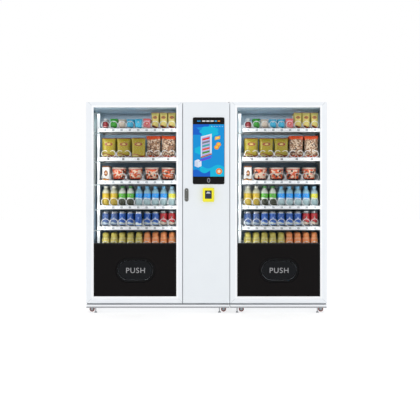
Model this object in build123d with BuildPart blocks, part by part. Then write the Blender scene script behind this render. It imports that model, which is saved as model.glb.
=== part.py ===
"""Twin-cabinet snack and drink vending machine.

The frame: X to the right, Y to the back, Z up. The origin is on the floor, at the middle of the
machine's width and depth. The doors' fronts face -Y. All lengths are millimetres.
"""

from build123d import *
import os

# ---------------------------------------------------------------- driving dimensions
half_width = 1105            # the machine is 2210 wide
front_y = -380               # front face of every door
back_y = 413                 # rear sheet of both casings
door_thickness = 60
door_gap = 4                 # air between a closed door and its casing
door_bottom_z = 90
door_top_z = 1934
casing_top_z = 1930
base_bottom_z = 46
base_top_z = 75
base_front_y = -378
base_back_y = 412
bolt_y = (-250, 350)         # where bolts join the two casings
bolt_z = (300, 1700)
bolt_radius = 4
bay_opening_x = (-200, 190)  # opening behind the payment column's door
louvre_count = (3, 15)
louvre_pitch = (260, 20)
louvre_size = (220, 8)
louvre_middle_z = 290

# power inlet in the back
inlet_centre = (120, 160)
inlet_snout = (46, 26)
inlet_flange = (60, 40)

main_door_right_x = -222
column_left_x = -217
column_right_x = 212
main_casing_right_x = 213
side_casing_left_x = 215
side_door_left_x = 216

sheet = 1.5                  # casing sheet
door_sheet = 2
running = 0.05               # radial clearance of a pin in its bore

door_back_y = front_y + door_thickness
casing_front_y = door_back_y + door_gap

# chambers, one behind each glass door
chamber_centre_x = 660
chamber_half_width = 420
chamber_back_y = 380
chamber_top_z = 1890
chamber_bottom_z = 110
deck_z = 500                 # floor above the cooling unit
lower_back_y = -65           # back of the low front part, where the bin is
liner_wall = 3

# windows in the doors
window_top_z = 1886
window_bottom_z = 151
panel_top_z = 633
main_window_x = (-1036, -277)
side_window_x = (282, 1043)

# trays
tray_centres_x = {"main": -639, "side": 703}
tray_floor_z = (1701, 1429, 1213, 978, 783, 571)
tray_half_width = 365
tray_front_y = -206
tray_back_y = 250
lane_pitch = 78
lane_count = 9
wide_lane_count = 5
wide_lane_pitch = lane_pitch * lane_count / wide_lane_count
wide_coil_offset = 34.5
coil_axis_height = 40
rail_drop = 28

# delivery flap, a stadium in each lower panel
flap_centre_z = 390
flap_centres_x = {"main": -653, "side": 667}
flap_size = (313, 174)
flap_gap = 5                 # all round the flap, in the plane it hangs in
flap_swing = 14              # the wider opening behind it, which its swing needs
recess_size = (367, 230)
recess_depth = 10
recess_taper = 12

# touch screen, card reader and lock on the column
screen_x = (-126, 165)
screen_z = (1181, 1794)
lock_x = -183
lock_pivot_z = 1125
lock_lever_y = -390

# casters and feet
wheel_radius = 24
wheel_width = 18
wheel_axle_z = 25
caster_trail = 18
swivel_y = -270
rear_axle_y = 300
# swivel place and the side to which the wheel trails
caster_places = ((-1044, -1), (140, 1), (305, 1), (1041, 1))
foot_x = (-1020, 119, 281, 1020)
foot_y = (-345, 375)

os.makedirs("parts", exist_ok=True)


# ---------------------------------------------------------------- helpers
def block(low, high, mode=Mode.ADD):
    """Add to the part being built a box between two opposite corners."""
    size = [b - a for a, b in zip(low, high)]
    centre = tuple((a + b) / 2 for a, b in zip(low, high))
    with Locations(centre):
        Box(*size, mode=mode)


def rod(start, end, radius, mode=Mode.ADD):
    """Add to the part being built a round bar from one point to another."""
    axis = Vector(*end) - Vector(*start)
    with Locations(Plane(origin=Vector(*start) + axis / 2, z_dir=axis)):
        Cylinder(radius, axis.length, mode=mode)


def facing(y):
    """The plane that looks at the machine's front: its x is X, its y is Z, its normal is -Y."""
    return Plane(origin=(0, y, 0), x_dir=(1, 0, 0), z_dir=(0, -1, 0))


def save(part, name):
    """Label a finished piece and write it to its own file."""
    part.label = name
    export_step(part, f"parts/{name}.step")


# ---------------------------------------------------------------- casings and liners
def outer_casing(left_x, right_x, chamber_x, bay_x, bolt_wall_x):
    """A sheet-metal box with door openings in front, a louvred back and joining-bolt holes."""
    with BuildPart() as casing:
        block((left_x, casing_front_y, base_top_z), (right_x, back_y, casing_top_z))
        fillet(casing.edges().filter_by(Axis.Z).group_by(Axis.Y)[-1], radius=3)
        block(
            (left_x + sheet, casing_front_y + sheet, base_top_z + sheet),
            (right_x - sheet, back_y - sheet, casing_top_z - sheet),
            mode=Mode.SUBTRACT,
        )
        for opening in (chamber_x, bay_x):
            if opening:
                block(
                    (opening[0], casing_front_y - 1, chamber_bottom_z),
                    (opening[1], casing_front_y + 2 * sheet, chamber_top_z),
                    mode=Mode.SUBTRACT,
                )
        louvre_x = (chamber_x[0] + chamber_x[1]) / 2
        with BuildSketch(facing(back_y + 1)):
            with Locations((louvre_x, louvre_middle_z)):
                with GridLocations(*louvre_pitch, *louvre_count):
                    SlotOverall(*louvre_size)
        extrude(amount=4 * sheet, mode=Mode.SUBTRACT)
        for y in bolt_y:
            for z in bolt_z:
                start = (bolt_wall_x - 2 * sheet, y, z)
                end = (bolt_wall_x + 2 * sheet, y, z)
                rod(start, end, bolt_radius + 0.5, mode=Mode.SUBTRACT)
        if bay_x:
            with BuildSketch(facing(back_y + 1)):
                with Locations(inlet_centre):
                    Rectangle(inlet_snout[0] + 2, inlet_snout[1] + 2)
            extrude(amount=4 * sheet, mode=Mode.SUBTRACT)
    return casing.part


main_chamber_x = (-chamber_centre_x - chamber_half_width, -chamber_centre_x + chamber_half_width)
side_chamber_x = (chamber_centre_x - chamber_half_width, chamber_centre_x + chamber_half_width)
save(
    outer_casing(-half_width, main_casing_right_x, main_chamber_x, bay_opening_x, main_casing_right_x),
    "main_outer_casing",
)
save(
    outer_casing(side_casing_left_x, half_width, side_chamber_x, None, side_casing_left_x),
    "side_outer_casing",
)

with BuildPart() as liners:
    for centre in (-chamber_centre_x, chamber_centre_x):
        left = centre - chamber_half_width
        right = centre + chamber_half_width
        front = casing_front_y + sheet
        wall = liner_wall
        block(
            (left - wall, front, deck_z - wall),
            (right + wall, chamber_back_y + wall, chamber_top_z + wall),
        )
        block(
            (left - wall, front, chamber_bottom_z - wall),
            (right + wall, lower_back_y + wall, deck_z),
        )
        block((left, front - 1, deck_z), (right, chamber_back_y, chamber_top_z), mode=Mode.SUBTRACT)
        block((left, front - 1, chamber_bottom_z), (right, lower_back_y, deck_z + 1), mode=Mode.SUBTRACT)
save(liners.part, "inner_liners")

# a gasket round each chamber, between the casing and the closed door
gasket_reach = (1, 8)        # its inner and outer edges, from the chamber's opening
gasket_squash = 0.4
with BuildPart() as gaskets:
    for centre in (-chamber_centre_x, chamber_centre_x):
        with BuildSketch(facing(casing_front_y)):
            with Locations((centre, (chamber_bottom_z + chamber_top_z) / 2)):
                for reach, mode in zip(gasket_reach[::-1], (Mode.ADD, Mode.SUBTRACT)):
                    Rectangle(
                        2 * (chamber_half_width + reach),
                        chamber_top_z - chamber_bottom_z + 2 * reach,
                        mode=mode,
                    )
        extrude(amount=door_gap - gasket_squash)
save(gaskets.part, "door_gaskets")

# ---------------------------------------------------------------- base frames, feet, bolts
base_spans = ((-half_width + 2, main_casing_right_x - 2), (side_casing_left_x + 2, half_width - 2))
base_wall = 3
kingpin_radius = 4
kingpin_bottom_z = 58

with BuildPart() as bases:
    for left, right in base_spans:
        block((left, base_front_y, base_bottom_z), (right, base_back_y, base_top_z))
    fillet(bases.edges().filter_by(Axis.Z), radius=5)
    for left, right in base_spans:
        block(
            (left + base_wall, base_front_y + base_wall, base_bottom_z - 1),
            (right - base_wall, base_back_y - base_wall, base_top_z - base_wall),
            mode=Mode.SUBTRACT,
        )
    for x, side in caster_places:
        rod((x, swivel_y, base_top_z - base_wall), (x, swivel_y, kingpin_bottom_z), kingpin_radius)
save(bases.part, "base_frames")

# half the foot's outline: pad, cone, threaded stem
foot_outline = ((0, 0), (14, 0), (14, 3), (7, 13), (5, 13), (5, 72), (0, 72))
foot_nut = (60, 8, 8.5)      # height, thickness, radius
with BuildPart() as feet:
    for x in foot_x:
        for y in foot_y:
            with BuildSketch(Plane(origin=(x, y, 0), x_dir=(1, 0, 0), z_dir=(0, -1, 0))):
                with BuildLine():
                    Polyline(*foot_outline, close=True)
                make_face()
            revolve(axis=Axis((x, y, 0), (0, 0, 1)))
            with BuildSketch(Plane((x, y, foot_nut[0]))):
                RegularPolygon(foot_nut[2], 6)
            extrude(amount=foot_nut[1])
save(feet.part, "levelling_feet")

bolt_head_radius = 7.5
bolt_head = 5.5
bolt_nut = 6.5
bolt_end_x = 228
with BuildPart() as bolts:
    for y in bolt_y:
        for z in bolt_z:
            head_x = main_casing_right_x - sheet
            nut_x = side_casing_left_x + sheet
            rod((head_x, y, z), (bolt_end_x, y, z), bolt_radius)
            with BuildSketch(Plane(origin=(head_x - bolt_head, y, z), z_dir=(1, 0, 0))):
                RegularPolygon(bolt_head_radius, 6)
            extrude(amount=bolt_head)
            with BuildSketch(Plane(origin=(nut_x, y, z), z_dir=(1, 0, 0))):
                RegularPolygon(bolt_head_radius, 6)
            extrude(amount=bolt_nut)
save(bolts.part, "joining_bolts")

# ---------------------------------------------------------------- hinges
hinge_pin_radius = 5
pin_inset = 10               # from a glazed door's outer edge
inner_pin_y = -336           # main and side door, hinged at the machine's outer edges
column_pin_x = 204
column_pin_y = -372          # the column door turns in its own front corner
hinge_places = (
    (-half_width + pin_inset, inner_pin_y),
    (column_pin_x, column_pin_y),
    (half_width - pin_inset, inner_pin_y),
)
plate_half = 9
column_plate_half = 7.5
plate_thickness = 5
plate_back_y = -250
notch_reach = 16             # from a pin to the side of the notch round its upper plate
pin_bottom_top_z = 113
pin_top_bottom_z = 1900

with BuildPart() as hinges:
    for x, y in hinge_places:
        half = column_plate_half if y == column_pin_y else plate_half
        lead = min(half, y - front_y)
        block(
            (x - half, y - lead, base_top_z),
            (x + half, casing_front_y - 2, base_top_z + plate_thickness),
        )
        rod((x, y, base_top_z + plate_thickness), (x, y, pin_bottom_top_z), hinge_pin_radius)
        block((x - half, y - lead, casing_top_z), (x + half, plate_back_y, door_top_z))
        rod((x, y, casing_top_z), (x, y, pin_top_bottom_z), hinge_pin_radius)
save(hinges.part, "hinge_brackets")


hinge_block_z = ((door_bottom_z, door_bottom_z + 35), (door_top_z - 40, door_top_z))


def hinge_blocks(x_range, y_range, pin_x, pin_y, notch_x, notch_y):
    """Add the two blocks that the hinge pins turn in, cut their bores and the upper bracket's notch."""
    for low_z, high_z in hinge_block_z:
        block((x_range[0], y_range[0], low_z), (x_range[1], y_range[1], high_z))
    block(
        (notch_x[0], notch_y[0], casing_top_z - 1),
        (notch_x[1], notch_y[1], door_top_z + 1),
        mode=Mode.SUBTRACT,
    )
    bore = hinge_pin_radius + running
    rod((pin_x, pin_y, door_bottom_z - 1), (pin_x, pin_y, pin_bottom_top_z + 2), bore, mode=Mode.SUBTRACT)
    rod((pin_x, pin_y, pin_top_bottom_z - 2), (pin_x, pin_y, door_top_z), bore, mode=Mode.SUBTRACT)


# ---------------------------------------------------------------- glazed doors
lip = 12                     # how far the frame's front covers the glass
lip_thickness = 8
lip_chamfer = 5
hinge_block_reach = 20       # how far a hinge block goes past its pin
pane_thickness = 4
inner_pane_y = -352
drain_inset = 200


def door_frame(left_x, right_x, window_x, hinge_sign):
    """A formed-sheet ring: a hollow section all round, a lip over the glass, and hinge blocks."""
    window_z = (window_bottom_z, window_top_z)
    with BuildPart() as frame:
        block((left_x, front_y, door_bottom_z), (right_x, door_back_y, door_top_z))
        fillet(frame.edges().filter_by(Axis.Z), radius=5)
        block(
            (window_x[0], front_y - 1, window_z[0]),
            (window_x[1], door_back_y + 1, window_z[1]),
            mode=Mode.SUBTRACT,
        )
        lip_edges = frame.edges().group_by(Axis.Y)[0].filter_by(
            lambda edge: left_x + 20 < edge.center().X < right_x - 20
            and door_bottom_z + 20 < edge.center().Z < door_top_z - 20
        )
        chamfer(lip_edges, length=lip_chamfer)
        block(
            (window_x[0] - lip, front_y + lip_thickness, window_z[0] - lip),
            (window_x[1] + lip, door_back_y + 1, window_z[1] + lip),
            mode=Mode.SUBTRACT,
        )
        # the hollow inside the section
        inner_x = (window_x[0] - lip - door_sheet, window_x[1] + lip + door_sheet)
        inner_z = (window_z[0] - lip - door_sheet, window_z[1] + lip + door_sheet)
        with BuildSketch(facing(door_back_y - door_sheet)):
            with Locations(((left_x + right_x) / 2, (door_bottom_z + door_top_z) / 2)):
                Rectangle(
                    right_x - left_x - 2 * door_sheet,
                    door_top_z - door_bottom_z - 2 * door_sheet,
                )
            with Locations(((inner_x[0] + inner_x[1]) / 2, (inner_z[0] + inner_z[1]) / 2)):
                Rectangle(inner_x[1] - inner_x[0], inner_z[1] - inner_z[0], mode=Mode.SUBTRACT)
        extrude(amount=door_thickness - 2.5 * door_sheet, mode=Mode.SUBTRACT)
        # drain holes in the underside
        middle_y = (front_y + door_back_y) / 2
        for x in (left_x + drain_inset, right_x - drain_inset):
            rod((x, middle_y, door_bottom_z - 1), (x, middle_y, door_bottom_z + 3), 4, mode=Mode.SUBTRACT)
        outer_x = left_x if hinge_sign < 0 else right_x
        pin_x = outer_x - hinge_sign * pin_inset
        block_x = sorted((outer_x - hinge_sign, pin_x - hinge_sign * hinge_block_reach))
        notch_x = sorted((outer_x + hinge_sign, pin_x - hinge_sign * notch_reach))
        notch_y = (inner_pin_y - notch_reach, door_back_y + 1)
        hinge_blocks(block_x, (front_y + 1, door_back_y), pin_x, inner_pin_y, notch_x, notch_y)
    return frame.part


def door_glass(window_x):
    """Two panes with an air gap, seated behind the frame's lip."""
    low_x = window_x[0] - lip + 1
    high_x = window_x[1] + lip - 1
    with BuildPart() as glass:
        for pane_y in (front_y + lip_thickness, inner_pane_y):
            block(
                (low_x, pane_y, panel_top_z + 3),
                (high_x, pane_y + pane_thickness, window_top_z + lip - 1),
            )
    return glass.part


panel_front_y = front_y + lip_thickness
panel_thickness = 30
flap_front_y = panel_front_y + recess_depth
flap_thickness = 10
flap_axis_y = flap_front_y + flap_thickness / 2
flap_axis_z = flap_centre_z + flap_size[1] / 2 - 6
flap_pin_radius = 2.5
flap_pin_x = 101             # where the flap's pins leave it, from its middle
flap_pin_end = 122


def lower_panel(window_x, flap_x):
    """The dark panel under the glass, with a funnel-shaped recess and the flap's opening."""
    with BuildPart() as panel:
        block(
            (window_x[0] - lip + 1, panel_front_y, window_bottom_z - lip + 1),
            (window_x[1] + lip - 1, panel_front_y + panel_thickness, panel_top_z),
        )
        with BuildSketch(facing(panel_front_y)):
            with Locations((flap_x, flap_centre_z)):
                SlotOverall(*recess_size)
        with BuildSketch(facing(flap_front_y)):
            with Locations((flap_x, flap_centre_z)):
                SlotOverall(recess_size[0] - recess_taper, recess_size[1] - recess_taper)
        loft(mode=Mode.SUBTRACT)
        for start_y, room in ((flap_front_y - 1, flap_gap), (flap_front_y + flap_thickness, flap_swing)):
            with BuildSketch(facing(start_y)):
                with Locations((flap_x, flap_centre_z)):
                    SlotOverall(flap_size[0] + 2 * room, flap_size[1] + 2 * room)
            extrude(amount=-panel_thickness, mode=Mode.SUBTRACT)
        rod(
            (flap_x - flap_pin_end - 2, flap_axis_y, flap_axis_z),
            (flap_x + flap_pin_end + 2, flap_axis_y, flap_axis_z),
            flap_pin_radius + running,
            mode=Mode.SUBTRACT,
        )
    return panel.part


def delivery_flap(flap_x):
    """The push flap, with a stub pin at each end of its upper edge."""
    with BuildPart() as flap:
        with BuildSketch(facing(flap_front_y)):
            with Locations((flap_x, flap_centre_z)):
                SlotOverall(*flap_size)
        extrude(amount=-flap_thickness)
        fillet(flap.edges().filter_by(GeomType.CIRCLE), radius=2)
        for side in (-1, 1):
            start = (flap_x + side * (flap_pin_x - 6), flap_axis_y, flap_axis_z)
            end = (flap_x + side * flap_pin_end, flap_axis_y, flap_axis_z)
            rod(start, end, flap_pin_radius)
    return flap.part


glazed_doors = {
    "main": (-half_width, main_door_right_x, main_window_x, -1),
    "side": (side_door_left_x, half_width, side_window_x, 1),
}
for cabinet, (left, right, window, sign) in glazed_doors.items():
    save(door_frame(left, right, window, sign), f"{cabinet}_door_frame")
    save(door_glass(window), f"{cabinet}_door_glass")
    save(lower_panel(window, flap_centres_x[cabinet]), f"{cabinet}_lower_panel")
    save(delivery_flap(flap_centres_x[cabinet]), f"{cabinet}_delivery_flap")

# ---------------------------------------------------------------- payment column
screen_corner = 14
bezel_proud = 4
screen_depth = 40            # how far its housing reaches into the door
reader_x = (-35, 71)
reader_z = (1018, 1147)
reader_front_x = (-33, 60.5)
reader_front_z = (1030, 1145)
reader_front_y = -415
reader_body_x = (-25, 55)    # the part inside the door
reader_body_z = (1040, 1135)
reader_body_depth = 45
reader_pocket_x = (-14, 48)
reader_pocket_z = (1047, 1123)
lock_z = (1022, 1144)
reader_cable_hole = (15, 1087.5, 82, 97)
lock_hole = (112, 26)
corner_radius = 8
screen_seat = 3              # how far the sheet reaches under the screen's bezel
column_block_z = ((door_bottom_z, door_bottom_z + 35), (door_top_z - 40, casing_top_z - 1))

with BuildPart() as column:
    with BuildSketch(Plane.XY.offset(door_bottom_z)) as outline:
        with Locations(((column_left_x + column_right_x) / 2, (front_y + door_back_y) / 2)):
            Rectangle(column_right_x - column_left_x, door_thickness)
        fillet(outline.vertices().group_by(Axis.Y)[0], radius=corner_radius)
    extrude(amount=door_top_z - door_bottom_z)
    with BuildSketch(Plane.XY.offset(door_bottom_z + door_sheet)) as hollow:
        with Locations(((column_left_x + column_right_x) / 2, (front_y + door_back_y) / 2 + door_sheet)):
            Rectangle(column_right_x - column_left_x - 2 * door_sheet, door_thickness)
        fillet(hollow.vertices().group_by(Axis.Y)[0], radius=corner_radius - door_sheet)
    extrude(amount=door_top_z - door_bottom_z - 2 * door_sheet, mode=Mode.SUBTRACT)
    with BuildSketch(facing(front_y - 1)):
        with Locations(((screen_x[0] + screen_x[1]) / 2, (screen_z[0] + screen_z[1]) / 2)):
            RectangleRounded(
                screen_x[1] - screen_x[0] - 2 * screen_seat,
                screen_z[1] - screen_z[0] - 2 * screen_seat,
                screen_corner - screen_seat,
            )
        with Locations(reader_cable_hole[:2]):
            Rectangle(*reader_cable_hole[2:])
        with Locations((lock_x, (lock_z[0] + lock_z[1]) / 2)):
            SlotOverall(*lock_hole, rotation=90)
    extrude(amount=-2 * door_sheet, mode=Mode.SUBTRACT)
    hinge_blocks(
        (column_right_x - 22, column_right_x - corner_radius),
        (front_y + door_sheet, front_y + 20),
        column_pin_x,
        column_pin_y,
        (column_pin_x - notch_reach, column_right_x + 1),
        (front_y - 1, door_back_y + 1),
    )
    # the blocks' outer part stays inside the rounded corner
    for low_z, high_z in column_block_z:
        with BuildSketch(Plane.XY.offset(low_z)):
            with Locations((column_pin_x, column_pin_y)):
                Circle(corner_radius)
                Circle(hinge_pin_radius + running, mode=Mode.SUBTRACT)
        extrude(amount=high_z - low_z)
save(column.part, "column_door")

with BuildPart() as screen:
    with BuildSketch(facing(front_y)):
        with Locations(((screen_x[0] + screen_x[1]) / 2, (screen_z[0] + screen_z[1]) / 2)):
            RectangleRounded(screen_x[1] - screen_x[0], screen_z[1] - screen_z[0], screen_corner)
    extrude(amount=bezel_proud)
    fillet(screen.faces().sort_by(Axis.Y)[0].edges(), radius=1.5)
    with BuildSketch(facing(front_y)):
        with Locations(((screen_x[0] + screen_x[1]) / 2, (screen_z[0] + screen_z[1]) / 2)):
            RectangleRounded(
                screen_x[1] - screen_x[0] - 2 * screen_seat - 2,
                screen_z[1] - screen_z[0] - 2 * screen_seat - 2,
                screen_corner - screen_seat - 1,
            )
    extrude(amount=-screen_depth)
save(screen.part, "touch_screen")

with BuildPart() as reader:
    with BuildSketch(facing(front_y)) as reader_base:
        with Locations(((reader_x[0] + reader_x[1]) / 2, (reader_z[0] + reader_z[1]) / 2)):
            RectangleRounded(reader_x[1] - reader_x[0], reader_z[1] - reader_z[0], 10)
    with BuildSketch(facing(reader_front_y)) as reader_face:
        with Locations(
            (
                (reader_front_x[0] + reader_front_x[1]) / 2,
                (reader_front_z[0] + reader_front_z[1]) / 2,
            )
        ):
            RectangleRounded(
                reader_front_x[1] - reader_front_x[0],
                reader_front_z[1] - reader_front_z[0],
                8,
            )
    loft(sections=[reader_base.sketch, reader_face.sketch])
    block(
        (reader_body_x[0], front_y, reader_body_z[0]),
        (reader_body_x[1], front_y + reader_body_depth, reader_body_z[1]),
    )
    # reading window, a shallow pocket in the front
    block(
        (reader_pocket_x[0], reader_front_y - 1, reader_pocket_z[0]),
        (reader_pocket_x[1], reader_front_y + 3, reader_pocket_z[1]),
        mode=Mode.SUBTRACT,
    )
save(reader.part, "card_reader")

spindle_radius = 5
spindle_end_y = -304
escutcheon_thickness = 3
lock_body_half = 12
lock_body_z = 1040
lock_body_depth = 40
key_z = 1033
key_radius = 8
key_front_y = -384.6
with BuildPart() as escutcheon:
    with BuildSketch(facing(front_y)):
        with Locations((lock_x, (lock_z[0] + lock_z[1]) / 2)):
            SlotOverall(lock_z[1] - lock_z[0], 36, rotation=90)
    extrude(amount=escutcheon_thickness)
    fillet(escutcheon.faces().sort_by(Axis.Y)[0].edges(), radius=1)
    block(
        (lock_x - lock_body_half, front_y, lock_body_z),
        (lock_x + lock_body_half, front_y + lock_body_depth, lock_pivot_z),
    )
    with BuildSketch(facing(front_y)):
        with Locations((lock_x, lock_pivot_z)):
            Circle(lock_body_half)
    extrude(amount=-lock_body_depth)
    # key cylinder below the lever, with its slit
    rod((lock_x, front_y, key_z), (lock_x, key_front_y, key_z), key_radius)
    block(
        (lock_x - 1, key_front_y - 1, key_z - 5),
        (lock_x + 1, key_front_y + 3, key_z + 5),
        mode=Mode.SUBTRACT,
    )
    rod(
        (lock_x, front_y - 20, lock_pivot_z),
        (lock_x, front_y + lock_body_depth + 1, lock_pivot_z),
        spindle_radius + running,
        mode=Mode.SUBTRACT,
    )
save(escutcheon.part, "lock_escutcheon")

lever_pin_radius = 2
lever_half = 10
lever_half_thickness = 4
lever_bottom_z = 1047
head_half = 5                # half the width of the spindle's head
head_gap = 0.5               # between the head and each cheek of the lever
cam_y = (-311, -307)
cam_half = 8
cam_length = 28

with BuildPart() as spindle:
    rod(
        (lock_x, lock_lever_y + lever_half_thickness, lock_pivot_z),
        (lock_x, spindle_end_y, lock_pivot_z),
        spindle_radius,
    )
    block(
        (lock_x - head_half, lock_lever_y - lever_half_thickness, lock_pivot_z - 4),
        (lock_x + head_half, lock_lever_y + lever_half_thickness, lock_pivot_z + 4),
    )
    # latch cam behind the casing's front sheet, drawn released
    block(
        (lock_x - cam_half, cam_y[0], lock_pivot_z - cam_half),
        (lock_x + cam_half, cam_y[1], lock_pivot_z + cam_length),
    )
    rod(
        (lock_x - lever_half, lock_lever_y, lock_pivot_z),
        (lock_x + lever_half, lock_lever_y, lock_pivot_z),
        lever_pin_radius + running,
        mode=Mode.SUBTRACT,
    )
save(spindle.part, "lock_spindle")

with BuildPart() as lever:
    block(
        (lock_x - lever_half, lock_lever_y - lever_half_thickness, lever_bottom_z),
        (lock_x + lever_half, lock_lever_y + lever_half_thickness, lock_pivot_z + 4),
    )
    fillet(lever.edges().filter_by(Axis.Y), radius=3.5)
    fillet(lever.faces().sort_by(Axis.Y)[0].edges(), radius=1.5)
    # the slot that the spindle's head stands in
    block(
        (lock_x - head_half - head_gap, lock_lever_y - 5, lock_pivot_z - 12),
        (lock_x + head_half + head_gap, lock_lever_y + 5, lock_pivot_z + 5),
        mode=Mode.SUBTRACT,
    )
    rod(
        (lock_x - lever_half + 1, lock_lever_y, lock_pivot_z),
        (lock_x + lever_half - 1, lock_lever_y, lock_pivot_z),
        lever_pin_radius,
    )
save(lever.part, "lock_lever")

# ---------------------------------------------------------------- trays and coils
coil_wire = 2.5
coil_radius = 36
wide_coil_radius = 31
coil_front_y = -130
hub_front_y = 236
hub_length = 10
hub_radius = 12
motor_shaft_radius = 4
motor_half = (22, 20)        # half a motor's width and height
motor_depth = 30
price_rail_y = (tray_front_y, -198)
rail_top = 6                 # heights over the tray's floor
side_top = 20
rear_plate_top = 72
rear_plate = 2
divider = (1.2, 28)          # thickness and height
divider_front_y = -195
motor_front_y = tray_back_y + rear_plate


def lane_edges(row):
    """X of the dividers, from the tray's middle: wide lanes on some trays."""
    half = lane_pitch * lane_count / 2
    if row == 1:
        return [-half + wide_lane_pitch * i for i in range(1, wide_lane_count)]
    if row == 2:
        return [-half + lane_pitch * i for i in (1, 3, 5, 7)]
    return [-half + lane_pitch * i for i in range(1, lane_count)]


def coil_axes(row):
    """X of the coils, from the tray's middle: two to a lane on the wide-lane tray."""
    half = lane_pitch * lane_count / 2
    if row == 1:
        middles = [-half + wide_lane_pitch * (i + 0.5) for i in range(wide_lane_count)]
        return [x + side * wide_coil_offset for x in middles for side in (-1, 1)]
    return [-half + lane_pitch * (i + 0.5) for i in range(lane_count)]


def tray(centre_x, floor_z, row):
    """A sheet pan with a price rail, lane dividers, a rear plate and one motor to a coil."""
    low_x = centre_x - tray_half_width
    high_x = centre_x + tray_half_width
    axis_z = floor_z + coil_axis_height
    with BuildPart() as pan:
        under_z = floor_z - rail_drop
        block((low_x, price_rail_y[1], floor_z - sheet), (high_x, tray_back_y, floor_z))
        for edge_x in (low_x, high_x - sheet):
            block((edge_x, price_rail_y[1], under_z), (edge_x + sheet, tray_back_y, floor_z + side_top))
        block((low_x, price_rail_y[0], under_z), (high_x, price_rail_y[1], floor_z + rail_top))
        chamfer(pan.edges().filter_by(Axis.X).group_by(Axis.Y)[0], length=2)
        block((low_x, tray_back_y, under_z), (high_x, motor_front_y, floor_z + rear_plate_top))
        for x in coil_axes(row):
            rod(
                (centre_x + x, tray_back_y - 1, axis_z),
                (centre_x + x, tray_back_y + 3, axis_z),
                motor_shaft_radius + 1,
                mode=Mode.SUBTRACT,
            )
    with BuildPart() as dividers:
        for x in lane_edges(row):
            block(
                (centre_x + x - divider[0] / 2, divider_front_y, floor_z),
                (centre_x + x + divider[0] / 2, tray_back_y - 2, floor_z + divider[1]),
            )
    with BuildPart() as motors:
        for x in coil_axes(row):
            middle = centre_x + x
            block(
                (middle - motor_half[0], motor_front_y, axis_z - motor_half[1]),
                (middle + motor_half[0], motor_front_y + motor_depth, axis_z + motor_half[1]),
            )
            rod((middle, motor_front_y, axis_z), (middle, hub_front_y, axis_z), motor_shaft_radius)
    return Compound(children=[*pan.solids(), *dividers.solids(), *motors.solids()])


for cabinet, centre in tray_centres_x.items():
    for row, floor_z in enumerate(tray_floor_z):
        save(tray(centre, floor_z, row), f"{cabinet}_tray_{row + 1}")


def coil(axis_x, floor_z, radius, turns, lefthand):
    """One vending coil: a helix of wire, a spoke and the hub that the motor turns."""
    axis_z = floor_z + coil_axis_height
    length = hub_front_y - coil_front_y
    with BuildPart() as spiral:
        with BuildLine() as path:
            Helix(
                pitch=length / turns,
                height=length,
                radius=radius,
                center=(axis_x, coil_front_y, axis_z),
                direction=(0, 1, 0),
                lefthand=lefthand,
            )
        with BuildSketch(Plane(origin=path.line @ 0, z_dir=path.line % 0)):
            Circle(coil_wire)
        sweep(path=path.line, is_frenet=True)
        end = path.line @ 1
        rod((axis_x, hub_front_y, axis_z), (end.X, hub_front_y, end.Z), coil_wire)
        rod(
            (axis_x, hub_front_y - coil_wire, axis_z),
            (axis_x, hub_front_y + hub_length, axis_z),
            hub_radius,
        )
        rod(
            (axis_x, hub_front_y - 1, axis_z),
            (axis_x, hub_front_y + hub_length + 1, axis_z),
            motor_shaft_radius + running,
            mode=Mode.SUBTRACT,
        )
    return spiral.part


main_x = tray_centres_x["main"]
left_x = main_x - wide_coil_offset
right_x = main_x + wide_coil_offset
# name: middle X, row, radius, turns, left-handed
live_coils = {
    "main_coil_1": (main_x, 0, coil_radius, 7, False),
    "main_coil_2_left": (left_x, 1, wide_coil_radius, 7, True),
    "main_coil_2_right": (right_x, 1, wide_coil_radius, 7, False),
    "main_coil_5": (main_x, 4, coil_radius, 5, False),
}
for name, (axis_x, row, radius, turns, lefthand) in live_coils.items():
    save(coil(axis_x, tray_floor_z[row], radius, turns, lefthand), name)

# runners: a rail under each side of each tray, on two arms from the chamber's wall
runner_y = (-190, 290)
runner_gap = 0.3
runner_arm_y = (-150, 230)
runner_arm = (20, 10)        # width and height of an arm
runner_thickness = 2
with BuildPart() as runners:
    for cabinet, centre in tray_centres_x.items():
        sign = -1 if cabinet == "main" else 1
        for side in (-1, 1):
            wall_x = sign * chamber_centre_x + side * chamber_half_width
            edge_x = centre + side * tray_half_width
            rail_x = sorted((edge_x - side * 8, edge_x + side * 5))
            arm_x = sorted((edge_x - side * 4, wall_x))
            for floor_z in tray_floor_z:
                top_z = floor_z - rail_drop - runner_gap
                arm_top_z = top_z - runner_thickness
                block((rail_x[0], runner_y[0], arm_top_z), (rail_x[1], runner_y[1], top_z))
                for arm_y in runner_arm_y:
                    block(
                        (arm_x[0], arm_y, arm_top_z - runner_arm[1]),
                        (arm_x[1], arm_y + runner_arm[0], arm_top_z),
                    )
save(runners.part, "tray_runners")

# ---------------------------------------------------------------- lamps and bins
lamp_y = 60
lamp_places = ((-1040, -1080), (318, 240))     # tube and the wall that it is fixed to
lamp_z = (598, 1864)
lamp_radius = 13
lamp_cap = 15                # radius and height of a cap
cap_z = (585, 1862)
with BuildPart() as lamps:
    for x, wall_x in lamp_places:
        rod((x, lamp_y, lamp_z[0]), (x, lamp_y, lamp_z[1]), lamp_radius)
        for z in cap_z:
            rod((x, lamp_y, z), (x, lamp_y, z + lamp_cap), lamp_cap)
            block((wall_x, lamp_y - 8, z), (x, lamp_y + 8, z + lamp_cap))
save(lamps.part, "lamp_tubes")

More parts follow.
